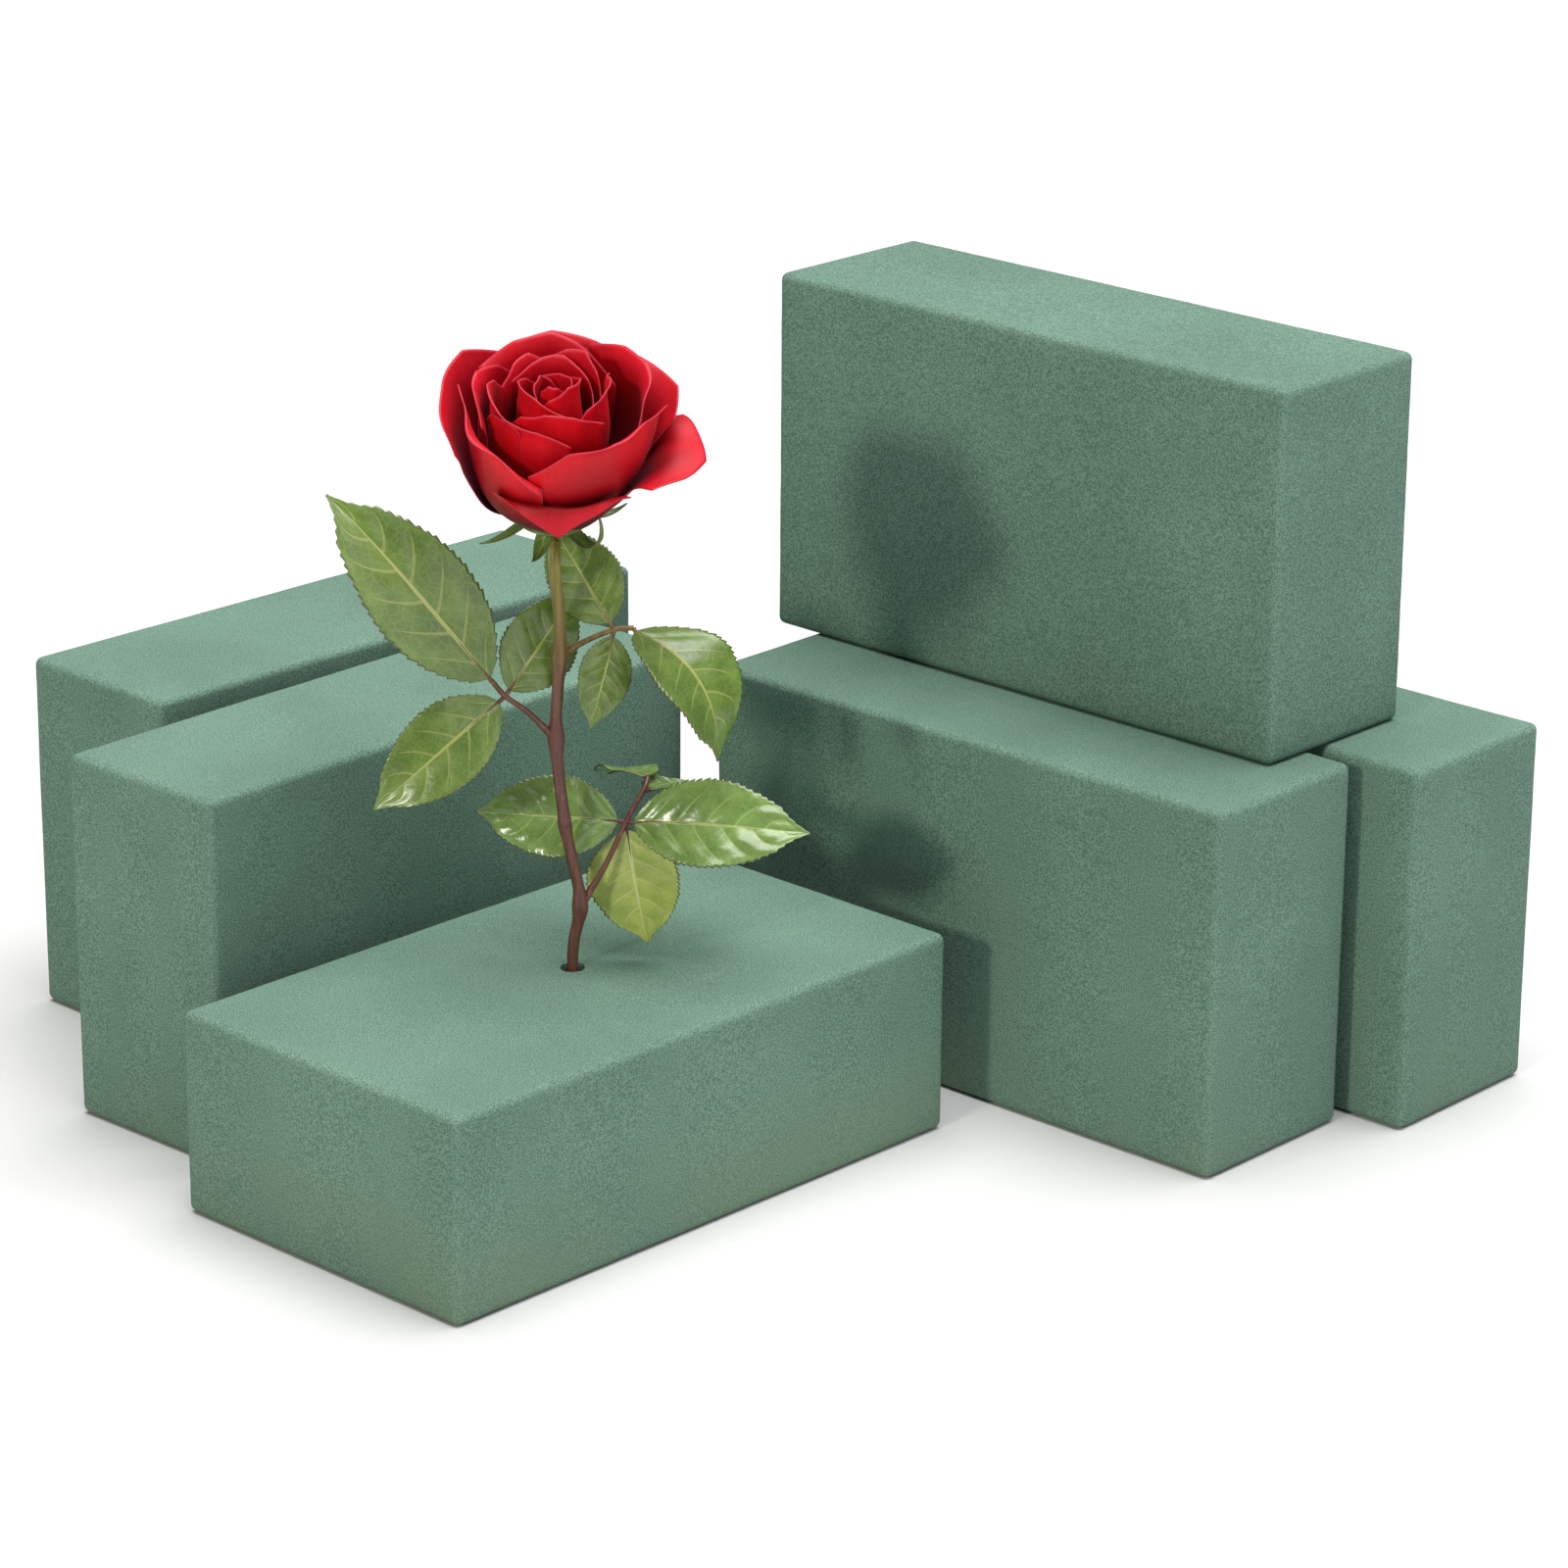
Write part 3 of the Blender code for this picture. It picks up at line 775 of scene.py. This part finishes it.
@dataclass
class Bloom:
    """The flower: nested petals on a domed hip, with five sepals below."""

    place: RoseFrame
    thickness: float = 0.36
    columns: int = 40
    rows: int = 44
    pitch: float = 1.88
    tuck: float = 1.08
    first_foot: float = 1.6
    dome_slope: float = 0.8
    hip_length: float = 18.0
    hip_radius: float = 6.0
    sag: float = 0.0025
    sag_direction: float = 280.0
    spread: float = 0.05
    edge_from: float = 0.7
    outer_lift: float = 1.2
    inner_lift: float = 0.2
    ripples: float = 2.3
    grain: float = 1.1
    sepal_width: float = 3.0
    sepal_thickness: float = 0.5
    sepal_stand: float = 1.1

    def petals(self) -> list[Petal]:
        """Lay out every petal.

        A closed ring is its count, first direction, overlap, bow, roll, widest direction and narrowing.

        Returns:
            The petals, from the furled centre to the open outer ones.
        """
        rings = (
            (3, 20.0, 1.60, ((7, 10), (6.5, 28), (3.4, 41.5)), 15.0, 20.0, 0.50),
            (3, 75.0, 1.60, ((12, 8), (12, 26), (8.6, 43.0)), 28.0, 75.0, 0.44),
            (5, 50.0, 1.45, ((18.5, 4), (18, 25), (15.2, 44.0)), 40.0, 194.0, 0.40),
            (5, 20.0, 1.40, ((28, -2), (25, 22), (25.5, 41.5)), 58.0, 308.0, 0.32),
        )
        closed_rim = (0.70, 0.90, 1.0, 0.98, 0.88)
        made = []
        for ring, (count, first, overlap, bow, roll, widest, narrowing) in enumerate(rings):
            for turn in range(count):
                direction = first + turn * 360.0 / count
                half_span = 180.0 / count * overlap
                step = round(((direction - widest) % 360.0) / (360.0 / count))
                growth = 1.0 + narrowing * (0.5 - step / (count - 1))
                number = len(made) + 1
                made.append(Petal(number, direction, half_span, ring, bow, closed_rim, roll, growth=growth))
        left = ((32, -4), (28, 22), (39.0, 37))
        back = ((32, -4), (29, 22), (42, 32))
        right = ((32, -4), (29, 22), (44, 26))
        front_left = ((31, -4), (26, 20), (30.5, 42))
        low_right = ((32, -4), (27, 26), (48, 13))
        low_front = ((30, -2), (28, 30), (35, 3))
        made += [
            Petal(17, 165.0, 46.0, 4, left, (0.85, 1.0, 0.95, 0.86, 0.76), 25.0),
            Petal(18, 92.0, 42.0, 4, back, (0.82, 0.93, 1.0, 0.93, 0.82), 25.0),
            Petal(19, 44.0, 36.0, 4, right, (0.80, 0.97, 0.98, 1.0, 0.86), 25.0),
            Petal(20, 226.0, 40.0, 4, front_left, (1.0, 0.97, 0.92, 0.83, 0.74), 95.0),
            Petal(21, 354.0, 32.0, 4, low_right, (0.82, 0.93, 1.0, 0.95, 0.90), 15.0, sag=0.0),
            Petal(22, 275.0, 44.0, 5, low_front, (0.62, 0.84, 1.0, 0.84, 0.64), 20.0, sag=0.0, waist=0.5),
        ]
        return made

    def bow(self, petal: Petal, t: float) -> tuple[Vector, Vector]:
        """Follow a petal's bow.

        Args:
            petal: the petal.
            t: a share of the bow's length.

        Returns:
            The point and the direction there, as (radius, height).
        """
        radius = self.first_foot + petal.ring * self.pitch
        foot = Vector((radius, 0.7 - self.dome_slope * radius))
        first, second, rim = (Vector(handle) for handle in petal.bow)
        s = 1.0 - t
        point = s**3 * foot + 3 * s**2 * t * first + 3 * s * t**2 * second + t**3 * rim
        way = 3 * s**2 * (first - foot) + 6 * s * t * (second - first) + 3 * t**2 * (rim - second)
        return point, way

    def petal_point(self, petal: Petal, across: float, along: float) -> Vector:
        """Return one point of a petal.

        Args:
            petal: the petal.
            across: -1 at its inner side to 1 at its outer side.
            along: 0 at its foot to 1 at its rim.

        Returns:
            The point in the frame, in metres.
        """
        shoulder = 1.0 - petal.reach(across)
        flat = min(along, petal.roll_from)
        point, way = self.bow(petal, flat * (1.0 - shoulder * flat**2))
        length = way.length
        way = way.normalized()
        out = Vector((way.y, -way.x))
        if along > petal.roll_from:
            zone = (1.0 - petal.roll_from) * length * (1.0 - shoulder)
            share = (along - petal.roll_from) / (1.0 - petal.roll_from)
            uneven = noise.noise(Vector((across * 2.2, petal.number * 3.1, 0.5)))
            angle = math.radians(petal.roll) * (0.12 + ease(across, -0.6, 0.0) * (0.7 + 0.5 * uneven))
            bend = zone / angle
            point = point + way * bend * math.sin(angle * share) + out * bend * (1 - math.cos(angle * share))
        side = max(0.0, abs(across) - self.edge_from) / (1.0 - self.edge_from)
        lift = self.outer_lift if across > 0 else self.inner_lift
        point = point + out * lift * side**2 * along
        wave = math.sin(self.ripples * across * math.pi + petal.number * 1.7) * petal.ripple * along**3
        tuck = Vector((1.0, -self.dome_slope)) * self.tuck * (across + 1) / 2 * (1 + along / 2)
        grain = noise.noise(Vector((across * 1.5, along * 2.5, petal.number * 7.3)))
        free = 0.35 + 0.65 * ease(across, -0.7, 0.1)
        point = point + tuck + out * (wave + grain * self.grain * along) * free
        point.x *= 1.0 + (petal.growth - 1.0) * ease(along, 0.0, 0.9)
        point.y -= (petal.growth - 1.0) * 2.0 * along
        widen = petal.waist + (1.0 - petal.waist) * ease(along, 0.0, 0.65)
        angle = math.radians(petal.direction + petal.half_span * across * widen)
        front = max(0.0, math.cos(angle - math.radians(self.sag_direction)))
        point.y -= self.sag * point.x**2 * front * along * petal.sag
        point.x *= 1.0 + self.spread * math.cos(angle) * along
        local = Vector((point.x * math.cos(angle), point.x * math.sin(angle), point.y))
        return self.place.bloom_matrix() @ local

    def build(self, inner: bpy.types.Material, outer: bpy.types.Material, green: bpy.types.Material) -> None:
        """Make and dress the petals, the hip and the sepals.

        Args:
            inner: the petals' inside.
            outer: the petals' outside, a darker copy of the inside as painted shade.
            green: the hip and sepals.
        """
        for petal in self.petals():
            node = f"petal_{petal.number:02d}"
            piece = patch(f"rose_{node}", self.columns, self.rows, lambda x, y: self.petal_point(petal, x, y))
            piece.data.materials.append(inner)
            piece.data.materials.append(outer)
            thicken(piece, self.thickness * MM, other_side=1)
            hand_over(piece, "rose", "petal", node)
        self.hip(green)
        self.sepals(green)

    def hip(self, green: bpy.types.Material) -> None:
        """Make the smooth green hip under the petals.

        Args:
            green: its finish.
        """
        lip = self.first_foot + 6 * self.pitch
        outline = (
            (0.0, -self.hip_length), (2.3, -self.hip_length), (4.4, -self.hip_length * 0.94),
            (6.6, -self.hip_length * 0.84), (6.7, -self.hip_length * 0.74), (7.4, -self.hip_length * 0.68),
            (lip - 1.2, -self.dome_slope * lip - 1.6), (lip, -self.dome_slope * lip - 0.6),
            (lip - 0.8, -self.dome_slope * lip + 0.4), (0.0, -0.2),
        )
        line = smooth_line([Vector((radius, height, 0.0)) for radius, height in outline], 4)
        deselect_all()
        bpy.ops.mesh.primitive_uv_sphere_add(segments=40, ring_count=len(line) - 1, radius=1.0)
        piece = bpy.context.object
        piece.name = piece.data.name = "rose_hip_green"
        matrix = self.place.bloom_matrix()
        for vertex in piece.data.vertices:
            ring = round(math.acos(max(-1.0, min(1.0, -vertex.co.z))) / math.pi * (len(line) - 1))
            radius, height = line[ring].x, line[ring].y
            flat = Vector((vertex.co.x, vertex.co.y))
            arm = flat.normalized() * max(0.0, radius) if flat.length > 1e-5 else Vector((0.0, 0.0))
            vertex.co = matrix @ Vector((arm.x, arm.y, height))
        bpy.ops.object.shade_smooth()
        piece.data.materials.append(green)
        hand_over(piece, "rose", "leaf", "rose_hip")

    def sepals(self, green: bpy.types.Material) -> None:
        """Make the five sepals: narrow pointed blades that hang and curl below the petals.

        Args:
            green: their finish.
        """
        lip = self.first_foot + 6 * self.pitch
        under = -self.dome_slope * lip - 2.5 - self.sepal_stand
        seat = self.hip_radius + self.sepal_stand
        hangs = ((182.0, 40.0, 20.0, 0.2), (250.0, 44.0, 13.0, 0.5), (318.0, 46.0, 18.0, 1.6),
                 (30.0, 32.0, 20.0, 0.4), (112.0, 30.0, 18.0, 0.3))
        matrix = self.place.bloom_matrix()
        for number, (direction, hang, length, curl) in enumerate(hangs, start=1):
            angle, drop = math.radians(direction), math.radians(hang)
            outward = Vector((math.cos(angle), math.sin(angle), 0.0))
            side = Vector((-outward.y, outward.x, 0.0))

            def shape(across: float, along: float) -> Vector:
                """Return one point of this sepal.

                Args:
                    across: -1 to 1 from edge to edge.
                    along: 0 at its foot to 1 at its tip.

                Returns:
                    The point in the frame, in metres.
                """
                bend = drop - curl * along**2
                reach = outward * math.cos(bend) - Vector((0.0, 0.0, math.sin(bend)))
                taper = (1 - along) ** 0.8 * (0.75 + 0.5 * math.sin(math.pi * along))
                width = self.sepal_width * taper + 0.12
                cup = outward * math.sin(bend) + Vector((0.0, 0.0, math.cos(bend)))
                local = outward * seat + Vector((0.0, 0.0, under)) + reach * length * along
                return matrix @ (local + side * width * across + cup * 0.35 * width * across**2)

            piece = patch(f"rose_sepal_{number}", 10, 28, shape)
            piece.data.materials.append(green)
            thicken(piece, self.sepal_thickness * MM)
            hand_over(piece, "rose", "leaf", f"sepal_{number}")


# ---- stem and leaves -------------------------------------------------------------------------


@dataclass
class Stem:
    """The cut stem: bends, swollen joints where leaves leave it, and one bud scar."""

    place: RoseFrame
    points: tuple[Point, ...] = (
        (0, 0, 0), (0.4, 0, 9), (2.6, 0, 25), (-2.2, 0, 51), (-5, 0, 83), (-3.4, 0, 116), (-5, 0, 140),
    )
    foot: float = -49.0
    radius: float = 1.95
    top_radius: float = 2.05
    joints: tuple[tuple[float, float, float], ...] = (
        (22, 0.9, 4.0), (51, 0.45, 3.0), (81, 0.9, 4.5), (110, 0.9, 4.5),
    )
    steps: int = 14
    neck_start: float = 22.0
    neck_end: float = 18.0
    knobbles: float = 0.10
    scar_height: float = 51.5

    def line(self) -> list[Vector]:
        """Lay out the stem's centre line.

        Returns:
            Its points, in the rose's millimetres.
        """
        neck = Vector(self.place.bloom)
        down = Matrix.Rotation(math.radians(self.place.tilt), 3, "X") @ Vector((0.0, 0.0, -1.0))
        rest = [Vector(point) for point in self.points] + [neck + down * self.neck_start]
        return [Vector((0.0, 0.0, self.foot)), *smooth_line(rest, self.steps), neck + down * self.neck_end]

    def radius_at(self, height: float) -> float:
        """Work out how thick the stem is, with its swollen joints.

        Args:
            height: in the rose's millimetres.

        Returns:
            The radius there.
        """
        share = max(0.0, min(1.0, height / self.place.bloom[2]))
        radius = self.radius + (self.top_radius - self.radius) * share
        swell = sum(rise * math.exp(-(((height - at) / reach) ** 2)) for at, rise, reach in self.joints)
        return radius + swell

    def centre_at(self, height: float) -> Vector:
        """Find the middle of the stem.

        Args:
            height: in the rose's millimetres.

        Returns:
            The centre there.
        """
        line = self.line()
        for low, high in zip(line, line[1:]):
            if low.z <= height <= high.z:
                return low.lerp(high, (height - low.z) / (high.z - low.z))
        return line[-1]

    def build(self, finish: bpy.types.Material) -> None:
        """Make and dress the stem.

        Args:
            finish: the rose wood.
        """
        matrix = self.place.matrix()
        line = self.line()
        radii = [self.radius_at(point.z) * MM for point in line]
        stem = tubes("rose_stem_wood", [([matrix @ point for point in line], radii)], 24)
        for vertex in stem.data.vertices:
            local = matrix.inverted() @ vertex.co
            centre = self.centre_at(local.z)
            arm = vertex.co - matrix @ centre
            vertex.co += arm * self.knobbles * noise.noise(Vector((local.x, local.y, local.z * 0.25)) * 0.6)
        stem.data.materials.append(finish)
        hand_over(stem, "rose", "stem", "rose_stem")
        self.scar(finish)

    def scar(self, finish: bpy.types.Material) -> None:
        """Make the bud scar, a low dome with a pinched middle, on the side away from the leaves.

        Args:
            finish: the rose wood.
        """
        height = self.scar_height
        centre = self.centre_at(height)
        deselect_all()
        bpy.ops.mesh.primitive_circle_add(vertices=24, radius=1.0, fill_type="NGON")
        piece = bpy.context.object
        piece.name = piece.data.name = "rose_bud_scar"
        bpy.ops.object.mode_set(mode="EDIT")
        for inset, rise in ((0.22, 0.25), (0.22, 0.12), (0.25, -0.22)):
            bpy.ops.mesh.select_all(action="DESELECT")
            bpy.ops.object.mode_set(mode="OBJECT")
            top = max(piece.data.polygons, key=lambda face: (len(face.vertices), face.center.z))
            top.select = True
            bpy.ops.object.mode_set(mode="EDIT")
            bpy.ops.mesh.inset(thickness=inset, depth=0.0)
            bpy.ops.transform.translate(value=(0.0, 0.0, rise))
        bpy.ops.object.mode_set(mode="OBJECT")
        out = Matrix.Rotation(math.radians(90.0), 4, "X")
        spot = Matrix.Translation(centre + Vector((0.2, -self.radius_at(height) + 0.15, 0.0)))
        piece.data.transform(self.place.matrix() @ spot @ out @ Matrix.Diagonal((1.3, 1.0, 1.6, 1.0)))
        bpy.ops.object.shade_smooth()
        piece.data.materials.append(finish)
        hand_over(piece, "rose", "stem")


@dataclass(frozen=True)
class Leaflet:
    """One leaflet: the stalk point it grows from, its tip, the way it faces, its width and arch."""

    part: str
    stalk_point: int
    tip: Point
    face: Point
    width: float
    arch: float
    tone: LeafTone = LeafTone.MATURE
    crinkle: float = 0.25
    ruffle: float = 0.6


@dataclass(frozen=True)
class CompoundLeaf:
    """One leaf: the height it leaves the stem at, its stalk's further points, and its leaflets."""

    name: str
    height: float
    stalk: tuple[Point, ...]
    leaflets: tuple[Leaflet, ...]


@dataclass
class Foliage:
    """The three compound leaves."""

    place: RoseFrame
    stem: Stem
    stalk_radius: float = 0.9
    gap: float = 0.5
    thickness: float = 0.42
    teeth: int = 24
    rows_each: int = 6
    columns: int = 30
    veins: float = 6.0
    sweep: float = 0.22
    tooth_depth: float = 0.032
    cupping: float = 0.12
    drift: float = 0.03

    def leaves(self) -> tuple[CompoundLeaf, ...]:
        """Lay out the three leaves.

        Returns:
            The leaves, in the rose's millimetres.
        """
        glossy, young = LeafTone.GLOSSY, LeafTone.YOUNG
        return (
            CompoundLeaf("upper_left", 81, ((-14, -2, 91), (-21.5, -3, 97), (-25.8, -3.8, 102.5)), (
                Leaflet("end", 2, (-80, 6, 163), (0.25, -0.9, 0.45), 36, 0.06),
                Leaflet("lower", 1, (-64.7, -18, 62), (0.1, -0.9, 0.5), 28, 0.06),
                Leaflet("inner", 1, (0, 20, 126), (0.3, -0.9, 0.4), 25, 0.02),
            )),
            CompoundLeaf("upper_right", 110, ((4.6, 3, 114.3), (14.2, 6, 117.5), (20.5, 7.6, 117.6)), (
                Leaflet("upper", 1, (-7, 19, 150), (0.3, -0.9, 0.1), 25, -0.03),
                Leaflet("lower", 1, (6.5, -6, 87), (0.3, -0.9, 0.3), 18, 0.05),
                Leaflet("end", 2, (48.7, -8, 76.7), (0.7, -0.5, 0.6), 41, 0.22),
            )),
            CompoundLeaf("lower", 22, ((10.9, 4, 35), (17.7, 10, 48.6), (23.4, 18, 57), (24.8, 23, 60)), (
                Leaflet("left", 1, (-33, 17, 49.5), (0, -0.9, 0.43), 28, 0.05, glossy, 0.55),
                Leaflet("right", 1, (79.5, 0, 48.5), (0, -0.8, 0.6), 31, 0.06, glossy, 0.65),
                Leaflet("front", 1, (25, 8, 6), (-0.2, -0.9, 0.1), 32, 0.02, young, 0.25),
                Leaflet("back_left", 3, (8, 51, 50), (0, 0.3, 1), 20, 0.08, glossy, 0.4),
                Leaflet("back_right", 2, (45, 44, 49), (0.1, 0.3, 1), 20, 0.06, glossy, 0.4),
            )),
        )

    def blade_point(self, leaflet: Leaflet, base: Vector, across: float, along: float) -> Vector:
        """Return one point of a leaflet's blade.

        Args:
            leaflet: the leaflet.
            base: where its blade starts, in the rose's millimetres.
            across: -1 to 1 from edge to edge.
            along: 0 at the base to 1 at the tip.

        Returns:
            The point, in the rose's millimetres.
        """
        tip, face = Vector(leaflet.tip), Vector(leaflet.face)
        chord = tip - base
        length = chord.length
        forward = chord.normalized()
        normal = (face - face.dot(forward) * forward).normalized()
        side = forward.cross(normal)
        full = math.sin(math.pi * along**0.8) ** 0.8 if 0.0 < along < 1.0 else 0.0
        full *= 1.0 - 0.45 * ease(along, 0.80, 0.97)
        half = leaflet.width / 2 * max(0.03, full)
        tooth = (along * self.teeth) % 1.0
        half += abs(across) ** 10 * self.tooth_depth * leaflet.width * (tooth - 0.4) * ease(full, 0.0, 0.35)
        edge = abs(across)
        phase = (along - self.sweep * edge**1.35) * self.veins + (0.45 if across > 0 else 0.0)
        ridge = abs(math.sin(math.pi * (phase + 0.5))) * math.sin(math.pi * edge**0.8)
        quilt = leaflet.crinkle * ridge * min(1.0, full * 1.5)
        lift = leaflet.arch * length * 4 * along * (1 - along) + self.cupping * half * edge
        lift += quilt + leaflet.crinkle * 0.5 * noise.noise(Vector((across * 3, along * 9, leaflet.width)))
        ruffle = math.sin(along * 15.0 + (1.3 if across > 0 else 0.0) + leaflet.width)
        lift += leaflet.ruffle * edge**3 * ruffle * full
        drift = self.drift * length * math.sin(2.6 * along + leaflet.width)
        return base + chord * along + side * (half * across + drift * along * (1 - along)) + normal * lift

    def build(self, stalk_finish: bpy.types.Material) -> None:
        """Make and dress every stalk and leaflet.

        Args:
            stalk_finish: the rose wood.
        """
        matrix = self.place.matrix()
        finishes = {tone: LeafFinish(tone).make(f"leaf_{tone.name.lower()}") for tone in LeafTone}
        for leaf in self.leaves():
            points = [Vector(point) for point in leaf.stalk]
            stem = self.stem.centre_at(leaf.height)
            start = stem + (points[0] - stem).normalized() * 1.2
            main = smooth_line([start, *points], 8)
            swell = [self.stalk_radius * (1.0 + 0.9 * math.exp(-step / 3.0)) for step in range(len(main))]
            runs = [([matrix @ point for point in main], [radius * MM for radius in swell])]
            for leaflet in leaf.leaflets:
                joint = points[leaflet.stalk_point]
                ended = leaflet.stalk_point == len(points) - 1
                clear = self.stalk_radius + self.gap + (0.0 if ended else 0.05 * leaflet.width)
                base = joint + (Vector(leaflet.tip) - joint).normalized() * clear
                face = Vector(leaflet.face).normalized()
                rib = [joint, base - face * 0.2]
                rib += [self.blade_point(leaflet, base, 0.0, step / 12) - face * 0.3 for step in range(1, 11)]
                thin = [0.85, 0.75] + [0.62 * (1 - step / 11.5) + 0.08 for step in range(1, 11)]
                runs.append(([matrix @ point for point in rib], [radius * MM for radius in thin]))
                rows = self.teeth * self.rows_each
                name = f"leaf_{leaf.name}_{leaflet.part}"
                blade = patch(f"rose_{name}", self.columns, rows,
                              lambda x, y: matrix @ self.blade_point(leaflet, base, x, y))
                blade.data.materials.append(finishes[leaflet.tone])
                thicken(blade, self.thickness * MM)
                hand_over(blade, "rose", "leaf", name)
            stalk = tubes(f"rose_leaf_{leaf.name}_stalk", runs, 12)
            stalk.data.materials.append(stalk_finish)
            hand_over(stalk, "rose", "stem", f"leaf_{leaf.name}_stalk")


# ---- the table and the light -----------------------------------------------------------------


@dataclass(frozen=True)
class Lamp:
    """A far lamp: where it shines from, how wide it looks in degrees, its power and its tint."""

    name: str
    comes_from: Point
    spread: float
    power: float
    tint: Point = (1.0, 1.0, 1.0)


@dataclass(frozen=True)
class Studio:
    """Pale floor, soft light from above, a low lamp from the front, and the camera."""

    lamps: tuple[Lamp, ...] = (
        Lamp("soft_light_above", (0.08, 0.12, 1.0), 60.0, 4.8),
        Lamp("low_front_light", (0.085, -0.924, 0.373), 6.0, 1.1, (1.0, 0.98, 0.82)),
        Lamp("soft_side_light", (1.0, -0.1, 0.45), 50.0, 0.7),
    )

    floor_size: float = 60.0
    floor_height: float = -0.4 * MM
    camera_place: Point = (1.2316, -1.2679, 0.7313)
    camera_turn: Point = (70.58, 0.42, 43.07)
    lens: float = 123.26
    sky: float = 0.06
    seen_sky: float = 1.0

    def build(self) -> None:
        """Set up the floor, the lights, the sky and the camera."""
        self.floor()
        for lamp in self.lamps:
            self.hang(lamp)
        self.sky_light()
        self.camera()

    def floor(self) -> None:
        """Lay the floor."""
        deselect_all()
        bpy.ops.mesh.primitive_plane_add(size=self.floor_size, location=(0.0, 0.0, self.floor_height))
        floor = bpy.context.object
        floor.name = "floor"
        floor.data.materials.append(FloorFinish().make("pale_floor"))

    def hang(self, lamp: Lamp) -> None:
        """Hang one far lamp.

        Args:
            lamp: the lamp.
        """
        light = bpy.data.lights.new(lamp.name, "SUN")
        light.energy = lamp.power
        light.color = lamp.tint
        light.angle = math.radians(lamp.spread)
        holder = bpy.data.objects.new(lamp.name, light)
        holder.rotation_euler = (-Vector(lamp.comes_from)).to_track_quat("-Z", "Y").to_euler()
        bpy.context.scene.collection.objects.link(holder)

    def sky_light(self) -> None:
        """Make the white surroundings, dimmer as a light than they look."""
        world = bpy.data.worlds.new("white_room")
        bpy.context.scene.world = world
        world.use_nodes = True
        tree = world.node_tree
        back = tree.nodes["Background"]
        back.inputs["Color"].default_value = (1.0, 1.0, 1.0, 1.0)
        seen = tree.nodes.new("ShaderNodeLightPath")
        level = tree.nodes.new("ShaderNodeMapRange")
        level.inputs["To Min"].default_value = self.sky
        level.inputs["To Max"].default_value = self.seen_sky
        tree.links.new(seen.outputs["Is Camera Ray"], level.inputs["Value"])
        tree.links.new(level.outputs[0], back.inputs["Strength"])

    def camera(self) -> None:
        """Place the camera."""
        lens = bpy.data.cameras.new("camera")
        lens.lens = self.lens
        lens.sensor_width = 36.0
        lens.clip_end = 200.0
        camera = bpy.data.objects.new("camera", lens)
        pitch, roll, turn = (math.radians(angle) for angle in self.camera_turn)
        turned = Matrix.Rotation(turn, 4, "Z") @ Matrix.Rotation(pitch, 4, "X")
        turned = turned @ Matrix.Rotation(roll, 4, "Z")
        camera.matrix_world = Matrix.Translation(self.camera_place) @ turned
        bpy.context.scene.collection.objects.link(camera)
        bpy.context.scene.camera = camera
        bpy.context.scene.view_settings.view_transform = "Standard"


# ---- assembly --------------------------------------------------------------------------------


def main() -> None:
    """Build the bricks, then the rose from its stem to its bloom, then the studio."""
    logging.basicConfig(level=logging.INFO, format="%(message)s")
    place = RoseFrame.find()
    foam = FoamFinish().make("floral_foam")
    bodies = ("flat", "left_front", "left_back", "right_front", "right_back", "top")
    bricks = FoamBricks({body: f"brick_{body}" for body in bodies})
    bricks.build(foam, place.mouth)
    wood = StemFinish().make("rose_wood")
    stem = Stem(place)
    stem.build(wood)
    Foliage(place, stem).build(wood)
    inner = PetalFinish().make("petal_inside")
    # The outside is the petal finish with a darker body and top: painted shade for the outsides deep in the
    # bloom.
    outer = PetalFinish(body=(0.30, 0.001, 0.006, 1.0), top=(0.60, 0.006, 0.018, 1.0)).make("petal_outside_painted_shade")
    green = LeafFinish(LeafTone.MATURE, veins=3.0).make("calyx_green")
    Bloom(place).build(inner, outer, green)
    Studio().build()
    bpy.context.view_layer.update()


if __name__ == "__main__":
    main()
